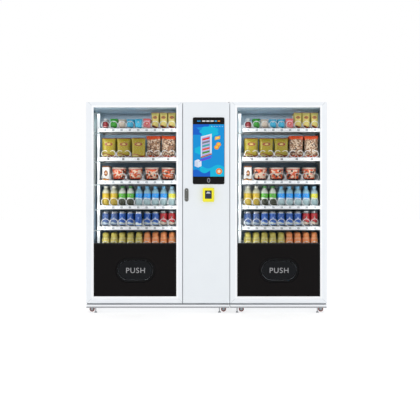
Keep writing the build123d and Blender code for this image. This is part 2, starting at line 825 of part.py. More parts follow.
bin_half_width = 345
bin_y = (-312, -72)
bin_top_z = 520
bin_floor_z = (262, 322)     # its floor slopes down to the front
bin_sheet = 2
bin_mouth = (180, 296, 490)  # half width, bottom and top of the opening behind the flap
bin_bracket = (-200, -180, 400, 430)
with BuildPart() as bins:
    for cabinet, sign in (("main", -1), ("side", 1)):
        centre = sign * chamber_centre_x
        with BuildSketch(Plane(origin=(centre, 0, 0), x_dir=(0, 1, 0), z_dir=(1, 0, 0))):
            with BuildLine():
                Polyline(
                    (bin_y[0], bin_floor_z[0]),
                    (bin_y[1], bin_floor_z[1]),
                    (bin_y[1], bin_top_z),
                    (bin_y[0], bin_top_z),
                    close=True,
                )
            make_face()
        extrude(amount=bin_half_width, both=True)
        with BuildSketch(Plane(origin=(centre, 0, 0), x_dir=(0, 1, 0), z_dir=(1, 0, 0))):
            with BuildLine():
                Polyline(
                    (bin_y[0] + bin_sheet, bin_floor_z[0] + 2.6),
                    (bin_y[1] - bin_sheet, bin_floor_z[1] + 1.6),
                    (bin_y[1] - bin_sheet, bin_top_z + 1),
                    (bin_y[0] + bin_sheet, bin_top_z + 1),
                    close=True,
                )
            make_face()
        extrude(amount=bin_half_width - bin_sheet, both=True, mode=Mode.SUBTRACT)
        flap_x = flap_centres_x[cabinet]
        block(
            (flap_x - bin_mouth[0], bin_y[0] - 2, bin_mouth[1]),
            (flap_x + bin_mouth[0], bin_y[0] + 3, bin_mouth[2]),
            mode=Mode.SUBTRACT,
        )
        for side in (-1, 1):
            near = centre + side * bin_half_width
            far = centre + side * chamber_half_width
            block(
                (min(near, far), bin_bracket[0], bin_bracket[2]),
                (max(near, far), bin_bracket[1], bin_bracket[3]),
            )
save(bins.part, "delivery_bins")

# ---------------------------------------------------------------- cooling and electrics
deck_floor_z = base_top_z + sheet
compressor_offset = -180     # from the chamber's middle
compressor_y = 200
compressor_foot = (110, 90, 4)
compressor_radius = 85
compressor_height = 200
suction_pipe = (60, 200, 5)  # offset, height, radius
with BuildPart() as compressors:
    for sign in (-1, 1):
        x = sign * chamber_centre_x + compressor_offset
        foot_top_z = deck_floor_z + compressor_foot[2]
        block(
            (x - compressor_foot[0], compressor_y - compressor_foot[1], deck_floor_z),
            (x + compressor_foot[0], compressor_y + compressor_foot[1], foot_top_z),
        )
        with BuildSketch(Plane((x, compressor_y, foot_top_z))):
            Circle(compressor_radius)
        extrude(amount=compressor_height)
        pipe_x = x + suction_pipe[0]
        rod(
            (pipe_x, compressor_y, suction_pipe[1]),
            (pipe_x, compressor_y - compressor_foot[1], suction_pipe[1]),
            suction_pipe[2],
        )
    fillet(compressors.faces().group_by(Axis.Z)[-1].edges(), radius=45)
save(compressors.part, "compressors")


def finned_block(low, high, pitch):
    """Add a heat exchanger: a solid core with cooling fins cut across its front."""
    block(low, high)
    count = int((high[0] - low[0]) / pitch)
    with Locations(((low[0] + high[0]) / 2, low[1], (low[2] + high[2]) / 2)):
        with GridLocations(pitch, 1, count, 1):
            Box(pitch / 2, (high[1] - low[1]) * 0.7, high[2] - low[2] - 30, mode=Mode.SUBTRACT)


condenser_offset = 150
condenser_half_width = 180
condenser_y = (330, 390)
condenser_top_z = 400
with BuildPart() as condensers:
    for sign in (-1, 1):
        x = sign * chamber_centre_x + condenser_offset
        low = (x - condenser_half_width, condenser_y[0], deck_floor_z)
        high = (x + condenser_half_width, condenser_y[1], condenser_top_z)
        finned_block(low, high, 15)
save(condensers.part, "condensers")

evaporator_half_width = 300
evaporator_front_y = 322
evaporator_z = (1080, 1320)
with BuildPart() as evaporators:
    for sign in (-1, 1):
        x = sign * chamber_centre_x
        low = (x - evaporator_half_width, evaporator_front_y, evaporator_z[0])
        high = (x + evaporator_half_width, chamber_back_y, evaporator_z[1])
        finned_block(low, high, 20)
save(evaporators.part, "evaporators")

column_wall_y = back_y - sheet
supply_x = (-120, 100)
supply_z = (400, 540)
supply_front_y = column_wall_y - 70
with BuildPart() as supply:
    block((supply_x[0], supply_front_y, supply_z[0]), (supply_x[1], column_wall_y, supply_z[1]))
    fillet(supply.edges().filter_by(Axis.Y), radius=4)
    with BuildSketch(facing(supply_front_y)):
        with Locations(((supply_x[0] + supply_x[1]) / 2, (supply_z[0] + supply_z[1]) / 2)):
            with GridLocations(12, 1, 12, 1):
                SlotOverall(90, 5, rotation=90)
    extrude(amount=-3, mode=Mode.SUBTRACT)
save(supply.part, "power_supply")

board_x = (-130, 110)
board_z = (1200, 1420)
board_y = (column_wall_y - 20, column_wall_y - 18)
standoff_inset = 10
# the parts on the board: middle X and Z, width, height, depth
board_parts = (
    (-60, 1320, 60, 60, 6),
    (40, 1370, 70, 25, 12),
    (50, 1270, 40, 40, 5),
    (-70, 1230, 80, 14, 14),
)
with BuildPart() as board:
    block((board_x[0], board_y[0], board_z[0]), (board_x[1], board_y[1], board_z[1]))
    for x in (board_x[0] + standoff_inset, board_x[1] - standoff_inset):
        for z in (board_z[0] + standoff_inset, board_z[1] - standoff_inset):
            rod((x, board_y[1], z), (x, column_wall_y, z), 4)
    for x, z, width, height, depth in board_parts:
        low = (x - width / 2, board_y[0] - depth, z - height / 2)
        high = (x + width / 2, board_y[0], z + height / 2)
        block(low, high)
save(board.part, "control_board")

inlet_socket = (28, 18)
inlet_depth = 26
contact_places = ((-7, -2), (7, -2), (0, 4))
with BuildPart() as inlet:
    for size, depth, mode in (
        (inlet_flange, 0, Mode.ADD),
        (inlet_snout, inlet_depth, Mode.ADD),
        (inlet_socket, inlet_depth - 8, Mode.SUBTRACT),
    ):
        half_x, half_z = size[0] / 2, size[1] / 2
        block(
            (inlet_centre[0] - half_x, back_y - depth, inlet_centre[1] - half_z),
            (inlet_centre[0] + half_x, back_y + 2, inlet_centre[1] + half_z),
            mode=mode,
        )
    for dx, dz in contact_places:
        x = inlet_centre[0] + dx
        z = inlet_centre[1] + dz
        block((x - 1, back_y - inlet_depth + 7, z - 2), (x + 1, back_y - 3, z + 2))
save(inlet.part, "power_inlet")

# ---------------------------------------------------------------- casters
crown_top_z = 70
rear_crown_top_z = base_top_z - base_wall
crown_radius = 15
fork_plate_z = (61, 66)
fork_half = 14               # half its width over the arms
arm_thickness = 3
arm_half = 7
axle_radius = 3
wheel_dish = (15, 2)         # radius and depth of the dish on each side
wheel_hub_radius = 6


def caster_fork(plane, top_z, bored):
    """A fork with its axle: the plane's x points from the crown's middle to the wheel."""
    with BuildPart(plane) as fork:
        plate_z = fork_plate_z[0]
        block((-fork_half, -fork_half, plate_z), (caster_trail + arm_half, fork_half, fork_plate_z[1]))
        with Locations((0, 0, (plate_z + top_z) / 2)):
            Cylinder(crown_radius, top_z - plate_z)
        for side in (-1, 1):
            low_y, high_y = sorted((side * (fork_half - arm_thickness), side * fork_half))
            block(
                (caster_trail - arm_half, low_y, wheel_axle_z),
                (caster_trail + arm_half, high_y, plate_z),
            )
            with Locations((caster_trail, (low_y + high_y) / 2, wheel_axle_z)):
                Cylinder(arm_half, arm_thickness, rotation=(90, 0, 0))
        with Locations((caster_trail, 0, wheel_axle_z)):
            Cylinder(axle_radius, 2 * fork_half, rotation=(90, 0, 0))
        if bored:
            with Locations((0, 0, fork_plate_z[1])):
                Cylinder(kingpin_radius + running, 20, mode=Mode.SUBTRACT)
    return fork.part


def caster_wheel(plane):
    """A wheel with a rounded tyre and a dished hub, bored to run on its axle."""
    with BuildPart(plane) as wheel:
        Cylinder(wheel_radius, wheel_width)
        fillet(wheel.edges().filter_by(GeomType.CIRCLE), radius=4)
        for side in (-1, 1):
            with Locations((0, 0, side * wheel_width / 2)):
                Cylinder(wheel_dish[0], 2 * wheel_dish[1], mode=Mode.SUBTRACT)
        Cylinder(wheel_hub_radius, wheel_width)
        Cylinder(axle_radius + running, wheel_width + 2, mode=Mode.SUBTRACT)
    return wheel.part


rear_forks = []
for number, (x, side) in enumerate(caster_places, start=1):
    fork_plane = Plane(origin=(x, swivel_y, 0), x_dir=(side, 0, 0), z_dir=(0, 0, 1))
    save(caster_fork(fork_plane, crown_top_z, True), f"front_caster_fork_{number}")
    wheel_plane = Plane(origin=(x + side * caster_trail, swivel_y, wheel_axle_z), z_dir=(0, 1, 0))
    save(caster_wheel(wheel_plane), f"front_wheel_{number}")
    rear_plane = Plane(origin=(x, rear_axle_y - caster_trail, 0), x_dir=(0, 1, 0), z_dir=(0, 0, 1))
    rear_forks += caster_fork(rear_plane, rear_crown_top_z, False).solids()
    rear_wheel_plane = Plane(origin=(x, rear_axle_y, wheel_axle_z), z_dir=(1, 0, 0))
    save(caster_wheel(rear_wheel_plane), f"rear_wheel_{number}")
save(Compound(children=rear_forks), "rear_caster_forks")
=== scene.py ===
"""Snack vending machine: its looks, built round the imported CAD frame. All lengths are metres."""

import math
import random
from functools import partial

import bmesh
import bpy
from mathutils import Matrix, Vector


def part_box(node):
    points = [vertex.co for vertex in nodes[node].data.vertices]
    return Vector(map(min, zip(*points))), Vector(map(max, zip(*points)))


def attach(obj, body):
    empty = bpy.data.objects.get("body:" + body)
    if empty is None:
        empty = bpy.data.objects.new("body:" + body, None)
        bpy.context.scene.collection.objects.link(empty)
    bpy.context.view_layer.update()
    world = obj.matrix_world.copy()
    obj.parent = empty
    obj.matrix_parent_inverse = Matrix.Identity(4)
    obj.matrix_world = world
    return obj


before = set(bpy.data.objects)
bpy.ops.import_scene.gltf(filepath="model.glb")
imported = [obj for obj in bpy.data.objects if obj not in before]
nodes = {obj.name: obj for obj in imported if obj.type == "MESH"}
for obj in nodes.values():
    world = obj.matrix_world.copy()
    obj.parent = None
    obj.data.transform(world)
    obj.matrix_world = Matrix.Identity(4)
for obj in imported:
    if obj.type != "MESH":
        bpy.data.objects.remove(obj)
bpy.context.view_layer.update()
cabinets = ("main", "side")


# ---- colours and finishes
def srgb(red, green, blue):
    """A colour from its usual 0 to 255 values, as the linear values that shaders take."""
    return tuple((value / 255) ** 2.2 for value in (red, green, blue)) + (1.0,)


white = srgb(255, 255, 255)


class Finish:
    """A Principled material, with short forms for the nodes that feed it."""

    def __init__(self, name, roughness=0.5, metallic=0.0, specular=0.5):
        self.material = bpy.data.materials.new(name)
        self.material.use_nodes = True
        self.tree = self.material.node_tree
        self.shader = self.tree.nodes["Principled BSDF"]
        self.shader.inputs["Roughness"].default_value = roughness
        self.shader.inputs["Metallic"].default_value = metallic
        self.shader.inputs["Specular IOR Level"].default_value = specular
        self.place = self.node("TexCoord").outputs["Object"]

    def feed(self, socket, value):
        """Link a socket to another, or set its value."""
        if isinstance(value, bpy.types.NodeSocket):
            self.tree.links.new(value, socket)
        else:
            socket.default_value = value

    def node(self, kind, sockets=None, **settings):
        made = self.tree.nodes.new("ShaderNode" + kind)
        for key, value in settings.items():
            setattr(made, key, value)
        for key, value in (sockets or {}).items():
            self.feed(made.inputs[key], value)
        return made

    def math(self, operation, first, second=0.0):
        return self.node("Math", {0: first, 1: second}, operation=operation).outputs[0]

    def plus(self, first, second):
        return self.math("ADD", first, second)

    def minus(self, first, second):
        return self.math("SUBTRACT", first, second)

    def times(self, first, second):
        return self.math("MULTIPLY", first, second)

    def above(self, value, limit):
        return self.math("GREATER_THAN", value, limit)

    def below(self, value, limit):
        return self.math("LESS_THAN", value, limit)

    def height(self):
        return self.node("SeparateXYZ", {0: self.place}).outputs[2]

    def ink(self, layer):
        return self.node("VertexColor", layer_name=layer).outputs["Color"]

    def mix(self, share, first, second):
        return self.node("Mix", {0: share, 6: first, 7: second}, data_type="RGBA").outputs[2]

    def noise(self, scale, detail=3.0, stretch=(1.0, 1.0, 1.0)):
        where = self.node("Mapping", {"Vector": self.place, "Scale": stretch}).outputs[0]
        return self.node("TexNoise", {"Vector": where, "Scale": scale, "Detail": detail}).outputs[0]

    def between(self, value, low, high):
        """1 where the value lies between two limits, else 0."""
        return self.times(self.above(value, low), self.below(value, high))

    def colour(self, value):
        self.feed(self.shader.inputs["Base Color"], value)

    def roughness(self, grain, low, high):
        spread = self.node("MapRange", {"Value": grain, "To Min": low, "To Max": high})
        self.feed(self.shader.inputs["Roughness"], spread.outputs[0])

    def relief(self, height, strength, distance=0.0005):
        bump = self.node("Bump", {"Height": height, "Strength": strength, "Distance": distance})
        self.feed(self.shader.inputs["Normal"], bump.outputs[0])

    def grained(self, scale, low, high, relief, stretch=(1.0, 1.0, 1.0)):
        """Fine grain in the roughness and the relief. It closes a material."""
        grain = self.noise(scale, 2.0, stretch)
        self.roughness(grain, low, high)
        self.relief(grain, relief)
        return self.material

    def folded(self, roughness, crinkle):
        """Soft creases. They close a wrapper's material."""
        folds = self.noise(55.0, 3.0)
        self.roughness(folds, roughness * 0.7, roughness * 1.4)
        self.relief(folds, crinkle, 0.004)
        return self.material

    def ends(self, ground, level, bands, trim):
        """Plain bands below and above a print."""
        ground = self.mix(self.below(level, bands[0]), ground, trim)
        return self.mix(self.above(level, bands[1]), ground, trim)


def surface(name, tone, shade, roughness, grain=900.0, relief=0.1, stretch=(1.0, 1.0, 1.0), **looks):
    """A finish whose colour drifts between two tones, with grain in its roughness and its relief."""
    finish = Finish(name, roughness, **looks)
    finish.colour(finish.mix(finish.noise(5.0, 4.0, stretch), srgb(*tone), srgb(*shade)))
    return finish.grained(grain, roughness * 0.8, min(1.0, roughness * 1.25), relief, stretch)


def plinth_enamel():
    """White enamel whose lowest band is grey."""
    finish = Finish("plinth_enamel", 0.4)
    paint = finish.mix(finish.noise(4.0), srgb(240, 242, 245), srgb(232, 235, 239))
    finish.colour(finish.mix(finish.below(finish.height(), grey_band_top), paint, srgb(150, 152, 156)))
    return finish.grained(700.0, 0.3, 0.5, 0.08)


def galvanised():
    """Zinc-coated sheet with its spangle."""
    finish = Finish("galvanised", 0.4, metallic=0.85)
    spangle = finish.node("TexVoronoi", {"Vector": finish.place, "Scale": 120.0}).outputs["Color"]
    flake = finish.node("SeparateXYZ", {0: spangle}).outputs[0]
    finish.colour(finish.mix(flake, srgb(176, 181, 186), srgb(205, 209, 213)))
    finish.roughness(flake, 0.28, 0.5)
    finish.relief(finish.noise(300.0), 0.06)
    return finish.material


def clear_glass():
    """A pane that is nearly invisible, but for a faint tint and a few soft smears."""
    finish = Finish("pane", 0.04)
    smear = finish.noise(3.0, 5.0, (1.0, 1.0, 2.5))
    finish.colour(finish.mix(smear, srgb(60, 76, 84), srgb(96, 112, 118)))
    finish.roughness(smear, 0.02, 0.08)
    finish.shader.inputs["Alpha"].default_value = 0.012
    return finish.material


def glow(name, tone, spots, dim, bright):
    """A lamp tube that shines in bright patches about some heights, and dimly between them; the dim stretches
    are painted shade from the tray brackets and goods.
    """
    finish = Finish(name, 0.3)
    shine = finish.mix(finish.noise(3.0), srgb(*tone), white)
    finish.colour(shine)
    height, power = finish.height(), dim
    for spot in spots:
        away = finish.math("DIVIDE", finish.minus(height, spot), lamp_patch)
        patch = finish.math("EXPONENT", finish.times(finish.math("POWER", away, 2.0), -1.0))
        power = finish.plus(power, finish.times(patch, bright - dim))
    finish.feed(finish.shader.inputs["Emission Color"], shine)
    finish.feed(finish.shader.inputs["Emission Strength"], power)
    return finish.material


inks = ("base", "mark", "trim")


def lit_print():
    """The touch screen's picture: each shape shines in its own colour, with a fine dot structure."""
    finish = Finish("screen_picture", 0.2, specular=0.2)
    dots = finish.times(finish.noise(1500.0, 0.0), 0.16)
    shine = finish.mix(dots, finish.ink(inks[0]), srgb(0, 20, 60))
    finish.colour(srgb(4, 4, 5))
    finish.feed(finish.shader.inputs["Emission Color"], shine)
    finish.shader.inputs["Emission Strength"].default_value = 1.0
    return finish.material


def plain_ink(name, roughness, metallic=0.0, grain=500.0, relief=0.06):
    """Moulded or coated stuff in the shape's own first colour."""
    finish = Finish(name, roughness, metallic)
    blotches = finish.times(finish.noise(40.0), 0.2)
    finish.colour(finish.mix(blotches, finish.ink(inks[0]), srgb(30, 30, 30)))
    return finish.grained(grain, roughness * 0.75, roughness * 1.3, relief)


def printed(name, repeats, disc, wave, bands, roughness, crinkle):
    """A printed wrapper in three inks: bands at its ends, a wave and a roundel, with crinkles.

    repeats is how often the design goes round the pack, disc is (height, radius, flatness) of the roundel,
    wave is (height, depth) of the lower field's edge, and bands are the lower and upper band's inner edges.
    """
    finish = Finish(name, roughness)
    base, mark, trim = (finish.ink(layer) for layer in inks)
    spot = finish.node("SeparateXYZ", {0: finish.node("UVMap", uv_map="print").outputs[0]})
    across = finish.math("FRACT", finish.times(spot.outputs[0], repeats))
    up = spot.outputs[1]
    sweep = finish.math("SINE", finish.times(across, 2 * math.pi))
    rise = finish.minus(up, finish.plus(finish.times(sweep, wave[1]), wave[0]))
    ground = finish.mix(finish.below(rise, 0.0), base, mark)
    ground = finish.mix(finish.between(rise, -0.045, 0.0), ground, trim)
    sideways = finish.minus(across, 0.5)
    upwards = finish.times(finish.minus(up, disc[0]), disc[2])
    squares = finish.plus(finish.math("POWER", sideways, 2.0), finish.math("POWER", upwards, 2.0))
    reach = finish.math("SQRT", squares)
    ground = finish.mix(finish.below(reach, disc[1]), ground, trim)
    ground = finish.mix(finish.below(reach, disc[1] * 0.5), ground, mark)
    # short rows of bars where a wrapper has its wording
    ticks = finish.above(finish.math("FRACT", finish.times(across, 14.0)), 0.3)
    rows = finish.above(finish.math("FRACT", finish.times(up, 22.0)), 0.55)
    words = finish.times(finish.times(ticks, rows), finish.between(upwards, -0.06, 0.05))
    words = finish.times(words, finish.between(sideways, -disc[1] * 0.55, disc[1] * 0.55))
    ground = finish.mix(words, ground, base)
    ground = finish.ends(ground, up, bands, trim)
    finish.colour(finish.mix(finish.times(finish.noise(60.0), 0.18), ground, srgb(60, 50, 45)))
    return finish.folded(roughness, crinkle)


def scattered(name, grain, share, bands, roughness, crinkle):
    """A printed wrapper whose middle shows a heap of small pieces, in two inks, between plain ends.

    grain is how fine the pieces are, share is how much of the field the second ink covers.
    """
    finish = Finish(name, roughness)
    base, mark, trim = (finish.ink(layer) for layer in inks)
    up = finish.node("SeparateXYZ", {0: finish.node("UVMap", uv_map="print").outputs[0]}).outputs[1]
    cells = finish.node("TexVoronoi", {"Vector": finish.place, "Scale": grain})
    pick = finish.node("SeparateXYZ", {0: cells.outputs["Color"]}).outputs[0]
    ground = finish.mix(finish.below(pick, share), base, mark)
    ground = finish.mix(finish.between(pick, share, share + 0.14), ground, srgb(70, 46, 34))
    edge = finish.times(finish.minus(finish.noise(30.0), 0.5), 0.16)
    level = finish.plus(up, edge)
    finish.colour(finish.ends(ground, level, bands, trim))
    return finish.folded(roughness, crinkle)


grey_band_top = 0.0585
no_inks = (white, white, white)

enamel = surface("enamel", (236, 240, 244), (231, 235, 240), 0.34, 800.0, 0.05)
column_enamel = surface("column_enamel", (231, 236, 240), (226, 231, 236), 0.34, 800.0, 0.05)
# the door trim is a whiter copy of the frame's enamel: a painted highlight along the stepped edge of the
# opening
trim_enamel = surface("trim_enamel", (250, 251, 253), (245, 247, 250), 0.28, 700.0, 0.04)
seam = surface("seam", (178, 183, 189), (165, 170, 177), 0.6)
rubber = surface("rubber", (22, 22, 23), (34, 34, 35), 0.75, 600.0, 0.3)
steel = surface("steel", (150, 152, 155), (176, 178, 181), 0.32, 500.0, 0.1, metallic=0.9)
zinc = galvanised()
pane = clear_glass()
panel_black = surface("panel_black", (18, 14, 14), (14, 11, 12), 0.35, 900.0, 0.03, specular=0.1)
recess_black = surface("recess_black", (17, 17, 18), (22, 22, 23), 0.5, 900.0, 0.03, specular=0.1)
flap_black = surface("flap_black", (22, 24, 27), (18, 20, 23), 0.4, 1200.0, 0.15, specular=0.12)
letter_grey = surface("letter_grey", (158, 158, 160), (142, 142, 145), 0.5)
lamp_patch = 0.045
# the tube's bright patches sit just below each tray above; between them the tube is dimmed as painted shade
lamp_spots = [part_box(f"main_tray_{number}")[0][2] + 0.19 for number in range(1, 7)]
lamp_white = glow("lamp_white", (226, 238, 242), lamp_spots, 0.5, 1.6)
lamp_cap = surface("lamp_cap", (205, 212, 215), (190, 198, 202), 0.5)
tray_white = surface("tray_white", (238, 241, 243), (226, 230, 233), 0.42, 700.0, 0.08)
tray_grey = surface("tray_grey", (96, 108, 116), (74, 86, 95), 0.5, 700.0, 0.08)
wire = surface("wire", (246, 248, 250), (232, 236, 240), 0.34, 900.0, 0.05)
motor_plastic = surface("motor_plastic", (38, 42, 46), (52, 56, 60), 0.55, 500.0, 0.2)
yellow = surface("reader_yellow", (248, 240, 30), (238, 226, 20), 0.45, 900.0, 0.12)
navy_window = surface("navy_window", (14, 22, 46), (24, 34, 62), 0.12, 900.0, 0.01)
lock_metal = surface("lock_metal", (112, 112, 108), (92, 93, 92), 0.38, 400.0, 0.1, metallic=0.6)
bezel_black = surface("bezel_black", (20, 17, 17), (15, 14, 15), 0.15, 900.0, 0.01, specular=0.15)
tyre = surface("tyre", (150, 84, 74), (120, 66, 60), 0.7, 400.0, 0.3)
hub = surface("hub", (150, 166, 170), (128, 144, 150), 0.5, 500.0, 0.15)
compressor_paint = surface("compressor_paint", (20, 21, 23), (34, 35, 37), 0.4, 200.0, 0.2)
fin_stretch = (1.0, 1.0, 0.1)
fins = surface("fins", (178, 184, 188), (206, 210, 213), 0.35, 700.0, 0.2, fin_stretch, metallic=0.9)
board_green = surface("board_green", (20, 84, 52), (14, 62, 44), 0.45, 1500.0, 0.3)
chip_black = surface("chip_black", (24, 24, 26), (38, 38, 41), 0.6, 900.0, 0.2)
inlet_plastic = surface("inlet_plastic", (24, 24, 25), (32, 32, 34), 0.5, 600.0, 0.2)
screen_light = lit_print()
plastic = plain_ink("moulded_plastic", 0.3)
can_metal = plain_ink("can_metal", 0.25, metallic=0.85, grain=900.0, relief=0.02)
film = printed("print_film", 1.0, (0.68, 0.3, 3.6), (0.16, 0.05), (0.07, 0.97), 0.3, 0.8)
label = printed("print_label", 3.0, (0.62, 0.13, 1.0), (0.27, 0.05), (0.05, 0.95), 0.32, 0.15)
nut_film = scattered("print_nuts", 95.0, 0.5, (0.09, 0.84), 0.3, 0.8)
cup_print = scattered("print_cup", 60.0, 0.42, (0.05, 0.93), 0.4, 0.15)
card = printed("print_card", 1.0, (0.5, 0.28, 1.4), (0.14, 0.03), (0.03, 0.9), 0.55, 0.1)

# the liner is light near the ceiling and dark further down, where little light comes
liner_high_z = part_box("inner_liners")[1][2]
# the height over which the painted light at the top of the liner fades out
painted_light_fade = 0.45


def liner_plastic(name, low_tone, shade, high_tone):
    """Grey-blue liner sheet with a fine grain; its colour is graded by height from the low tone up to the
    high tone near the ceiling, which is painted light and shade.
    """
    finish = Finish(name, 0.45)
    span = {"Value": finish.height(), "From Min": liner_high_z - painted_light_fade, "From Max": liner_high_z}
    lift = finish.node("MapRange", span).outputs[0]
    dim = finish.mix(finish.noise(3.0), srgb(*low_tone), srgb(*shade))
    finish.colour(finish.mix(lift, dim, srgb(*high_tone)))
    return finish.grained(1200.0, 0.38, 0.55, 0.15)


slot_finishes = dict(
    white_enamel=enamel,
    galvanised=zinc,
    liner=liner_plastic("liner_plastic", (120, 144, 164), (106, 130, 152), (160, 182, 198)),
    black_panel=panel_black,
    glass=pane,
    rubber_black=rubber,
    steel=steel,
    lamp=lamp_white,
    screen=bezel_black,
    reader_yellow=yellow,
    lock_grey=lock_metal,
    tray_white=tray_white,
    coil_wire=wire,
    wheel_tyre=tyre,
    compressor_black=compressor_paint,
    finned_aluminium=fins,
    electronics=steel,
    inlet_black=inlet_plastic,
)
node_finishes = dict(
    column_door=column_enamel,
    base_frames=plinth_enamel(),
    main_delivery_flap=flap_black,
    side_delivery_flap=flap_black,
    tray_runners=surface("runner_grey", (140, 150, 152), (124, 134, 137), 0.45),
)


def refinish(node, second, chosen):
    """Give those faces of a CAD node whose centre and normal are chosen a second finish."""
    mesh = nodes[node].data
    mesh.materials.append(second)
    number = len(mesh.materials) - 1
    for face in mesh.polygons:
        if chosen(face.center, face.normal):
            face.material_index = number


def corners_of(node):
    """The lowest and highest corners of a CAD node at rest."""
    return [Vector(corner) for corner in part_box(node)]


def round_axis(node, axis):
    """The middle line of a node that turns about an axis: its two other coordinates."""
    low, high = corners_of(node)
    middle = (low + high) / 2
    return [(number, middle[number]) for number in range(3) if number != axis]


def off_axis(point, middle):
    return math.sqrt(sum((point[number] - value) ** 2 for number, value in middle))


for name, part in nodes.items():
    for place in part.material_slots:
        finish = slot_finishes[place.material.name.split(".")[0]]
        place.material = node_finishes.get(name, finish)

# the liner's side walls are a lighter copy of the liner, painted light from the lamp tubes beside them,
# graded by height as painted shade towards the ceiling
lamp_lit_liner_sides = liner_plastic("lamp_lit_liner_sides", (160, 168, 166), (148, 158, 156), (124, 144, 146))
refinish("inner_liners", lamp_lit_liner_sides, lambda at, n: abs(n.x) > 0.9 and at.y < 0.2)
tray_rear_plate_y = 0.2525
tray_floor_y = (-0.19, 0.24)
panel_face_y = -0.3718
recess_z = (0.2, 0.55)


def on_tray_floor(at, n):
    return abs(n.z) > 0.9 and tray_floor_y[0] < at.y < tray_floor_y[1]


def in_recess(at, n):
    return at.y > panel_face_y and n.z < 0.99 and recess_z[0] < at.z < recess_z[1]


for cabinet in cabinets:
    for number in range(1, 7):
        refinish(f"{cabinet}_tray_{number}", motor_plastic, lambda at, n: at.y > tray_rear_plate_y)
        refinish(f"{cabinet}_tray_{number}", tray_grey, on_tray_floor)
    refinish(f"{cabinet}_lower_panel", recess_black, in_recess)

hub_reach = 0.0155
for group, count, axis in (("front_wheel", 4, 1), ("rear_wheel", 4, 0)):
    for number in range(1, count + 1):
        name = f"{group}_{number}"
        middle = round_axis(name, axis)
        refinish(name, hub, lambda at, n, middle=middle: off_axis(at, middle) < hub_reach)

lamp_low, lamp_high = corners_of("lamp_tubes")
cap_length = 0.0155
lamp_span = (lamp_low.z + cap_length, lamp_high.z - cap_length)
refinish("lamp_tubes", lamp_cap, lambda at, n: not lamp_span[0] <= at.z <= lamp_span[1])
board_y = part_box("control_board")[1][1] - 0.0205
board_thickness = 0.003
refinish("control_board", board_green, lambda at, n: board_y < at.y < board_y + board_thickness)
refinish("control_board", chip_black, lambda at, n: at.y < board_y)


# ---- building shapes
class Shape:
    """A mesh in the making. Each face takes a finish, three inks and a place on its print."""

    def __init__(self):
        self.mesh = bmesh.new()
        self.layers = [self.mesh.loops.layers.float_color.new(ink) for ink in inks]
        self.print = self.mesh.loops.layers.uv.new("print")
        self.finish = 0
        self.colours = no_inks

    def face(self, corners, spots=None, smooth=True):
        made = self.mesh.faces.new(corners)
        made.smooth = smooth
        made.material_index = self.finish
        for number, loop in enumerate(made.loops):
            for layer, ink in zip(self.layers, self.colours):
                loop[layer] = ink
            loop[self.print].uv = spots[number] if spots else (0.5, 0.5)

    def vertex(self, x, y, z):
        return self.mesh.verts.new((x, y, z))

    def strip(self, first, second, low=0.0, high=1.0):
        """Quads between two closed rings of corners, the print running round and from low to high."""
        count = len(first)
        for i in range(count):
            j = (i + 1) % count
            spots = ((i / count, low), ((i + 1) / count, low), ((i + 1) / count, high), (i / count, high))
            self.face((first[i], first[j], second[j], second[i]), spots)

    def ends(self, rings):
        self.face(rings[0][::-1], smooth=False)
        self.face(rings[-1], smooth=False)

    def loft(self, rings):
        """A closed body through rings of corners, with flat ends."""
        for first, second in zip(rings, rings[1:]):
            self.strip(first, second)
        self.ends(rings)

    def stack(self, outlines):
        """A closed body through (x, z) outlines, each at its own Y."""
        self.loft([[self.vertex(x, y, z) for x, z in outline] for outline, y in outlines])

    def sides(self, first, second):
        """Flat quads between two closed rings of corners."""
        for i in range(len(first)):
            j = (i + 1) % len(first)
            self.face((first[i], first[j], second[j], second[i]), smooth=False)

    def prism(self, outline, back_y, thickness, bevel=0.0):
        """A closed plate that faces the front; outline is its (x, z) points."""
        middle = Vector((sum(x for x, z in outline), sum(z for x, z in outline))) / len(outline)
        rings = []
        steps = ((0.0, 0.0), (thickness - bevel, 0.0)) + (((thickness, bevel),) if bevel else ())
        for lift, inset in steps:
            ring = []
            for x, z in outline:
                inward = middle - Vector((x, z))
                shift = inward.normalized() * inset if inward.length > inset else inward
                ring.append(self.vertex(x + shift.x, back_y - lift, z + shift.y))
            rings.append(ring)
        for first, second in zip(rings, rings[1:]):
            self.sides(first, second)
        self.ends(rings)

    def bar(self, x, z, half_width, half_height, radius, back_y, thickness, bevel=0.0, steps=3):
        """A raised rectangle with round corners, about its middle."""
        outline = rounded(x - half_width, z - half_height, x + half_width, z + half_height, radius, steps)
        self.prism(outline, back_y, thickness, bevel)

    def revolve(self, x, y, base_z, profile, segments=18):
        """A turned shape. Each ring is (radius, height, finish, inks), which the band above it takes."""
        rings = []
        for radius, height, finish, colours in profile:
            ring = []
            for i in range(segments):
                angle = math.pi / 2 + 2 * math.pi * i / segments
                across, along = radius * math.cos(angle), radius * math.sin(angle)
                ring.append(self.vertex(x + across, y + along, base_z + height))
            rings.append(ring)
        self.finish, self.colours = profile[0][2:]
        self.face(rings[0][::-1], smooth=False)
        for number in range(len(rings) - 1):
            self.finish, self.colours = profile[number][2:]
            self.strip(rings[number], rings[number + 1])
        self.finish, self.colours = profile[-1][2:]
        self.face(rings[-1], smooth=False)

    def tube(self, points, radius, sides=6):
        """A round wire through points."""
        rings = []
        for number, point in enumerate(points):
            ahead = points[min(number + 1, len(points) - 1)] - points[max(number - 1, 0)]
            across = ahead.cross(Vector((0.0, 1.0, 0.0))).normalized()
            up = ahead.cross(across).normalized()
            turns = [2 * math.pi * i / sides for i in range(sides)]
            ring = [point + (across * math.cos(a) + up * math.sin(a)) * radius for a in turns]
            rings.append([self.vertex(*corner) for corner in ring])
        self.loft(rings)


def add_object(name, data):
    made = bpy.data.objects.new(name, data)
    bpy.context.scene.collection.objects.link(made)
    return made


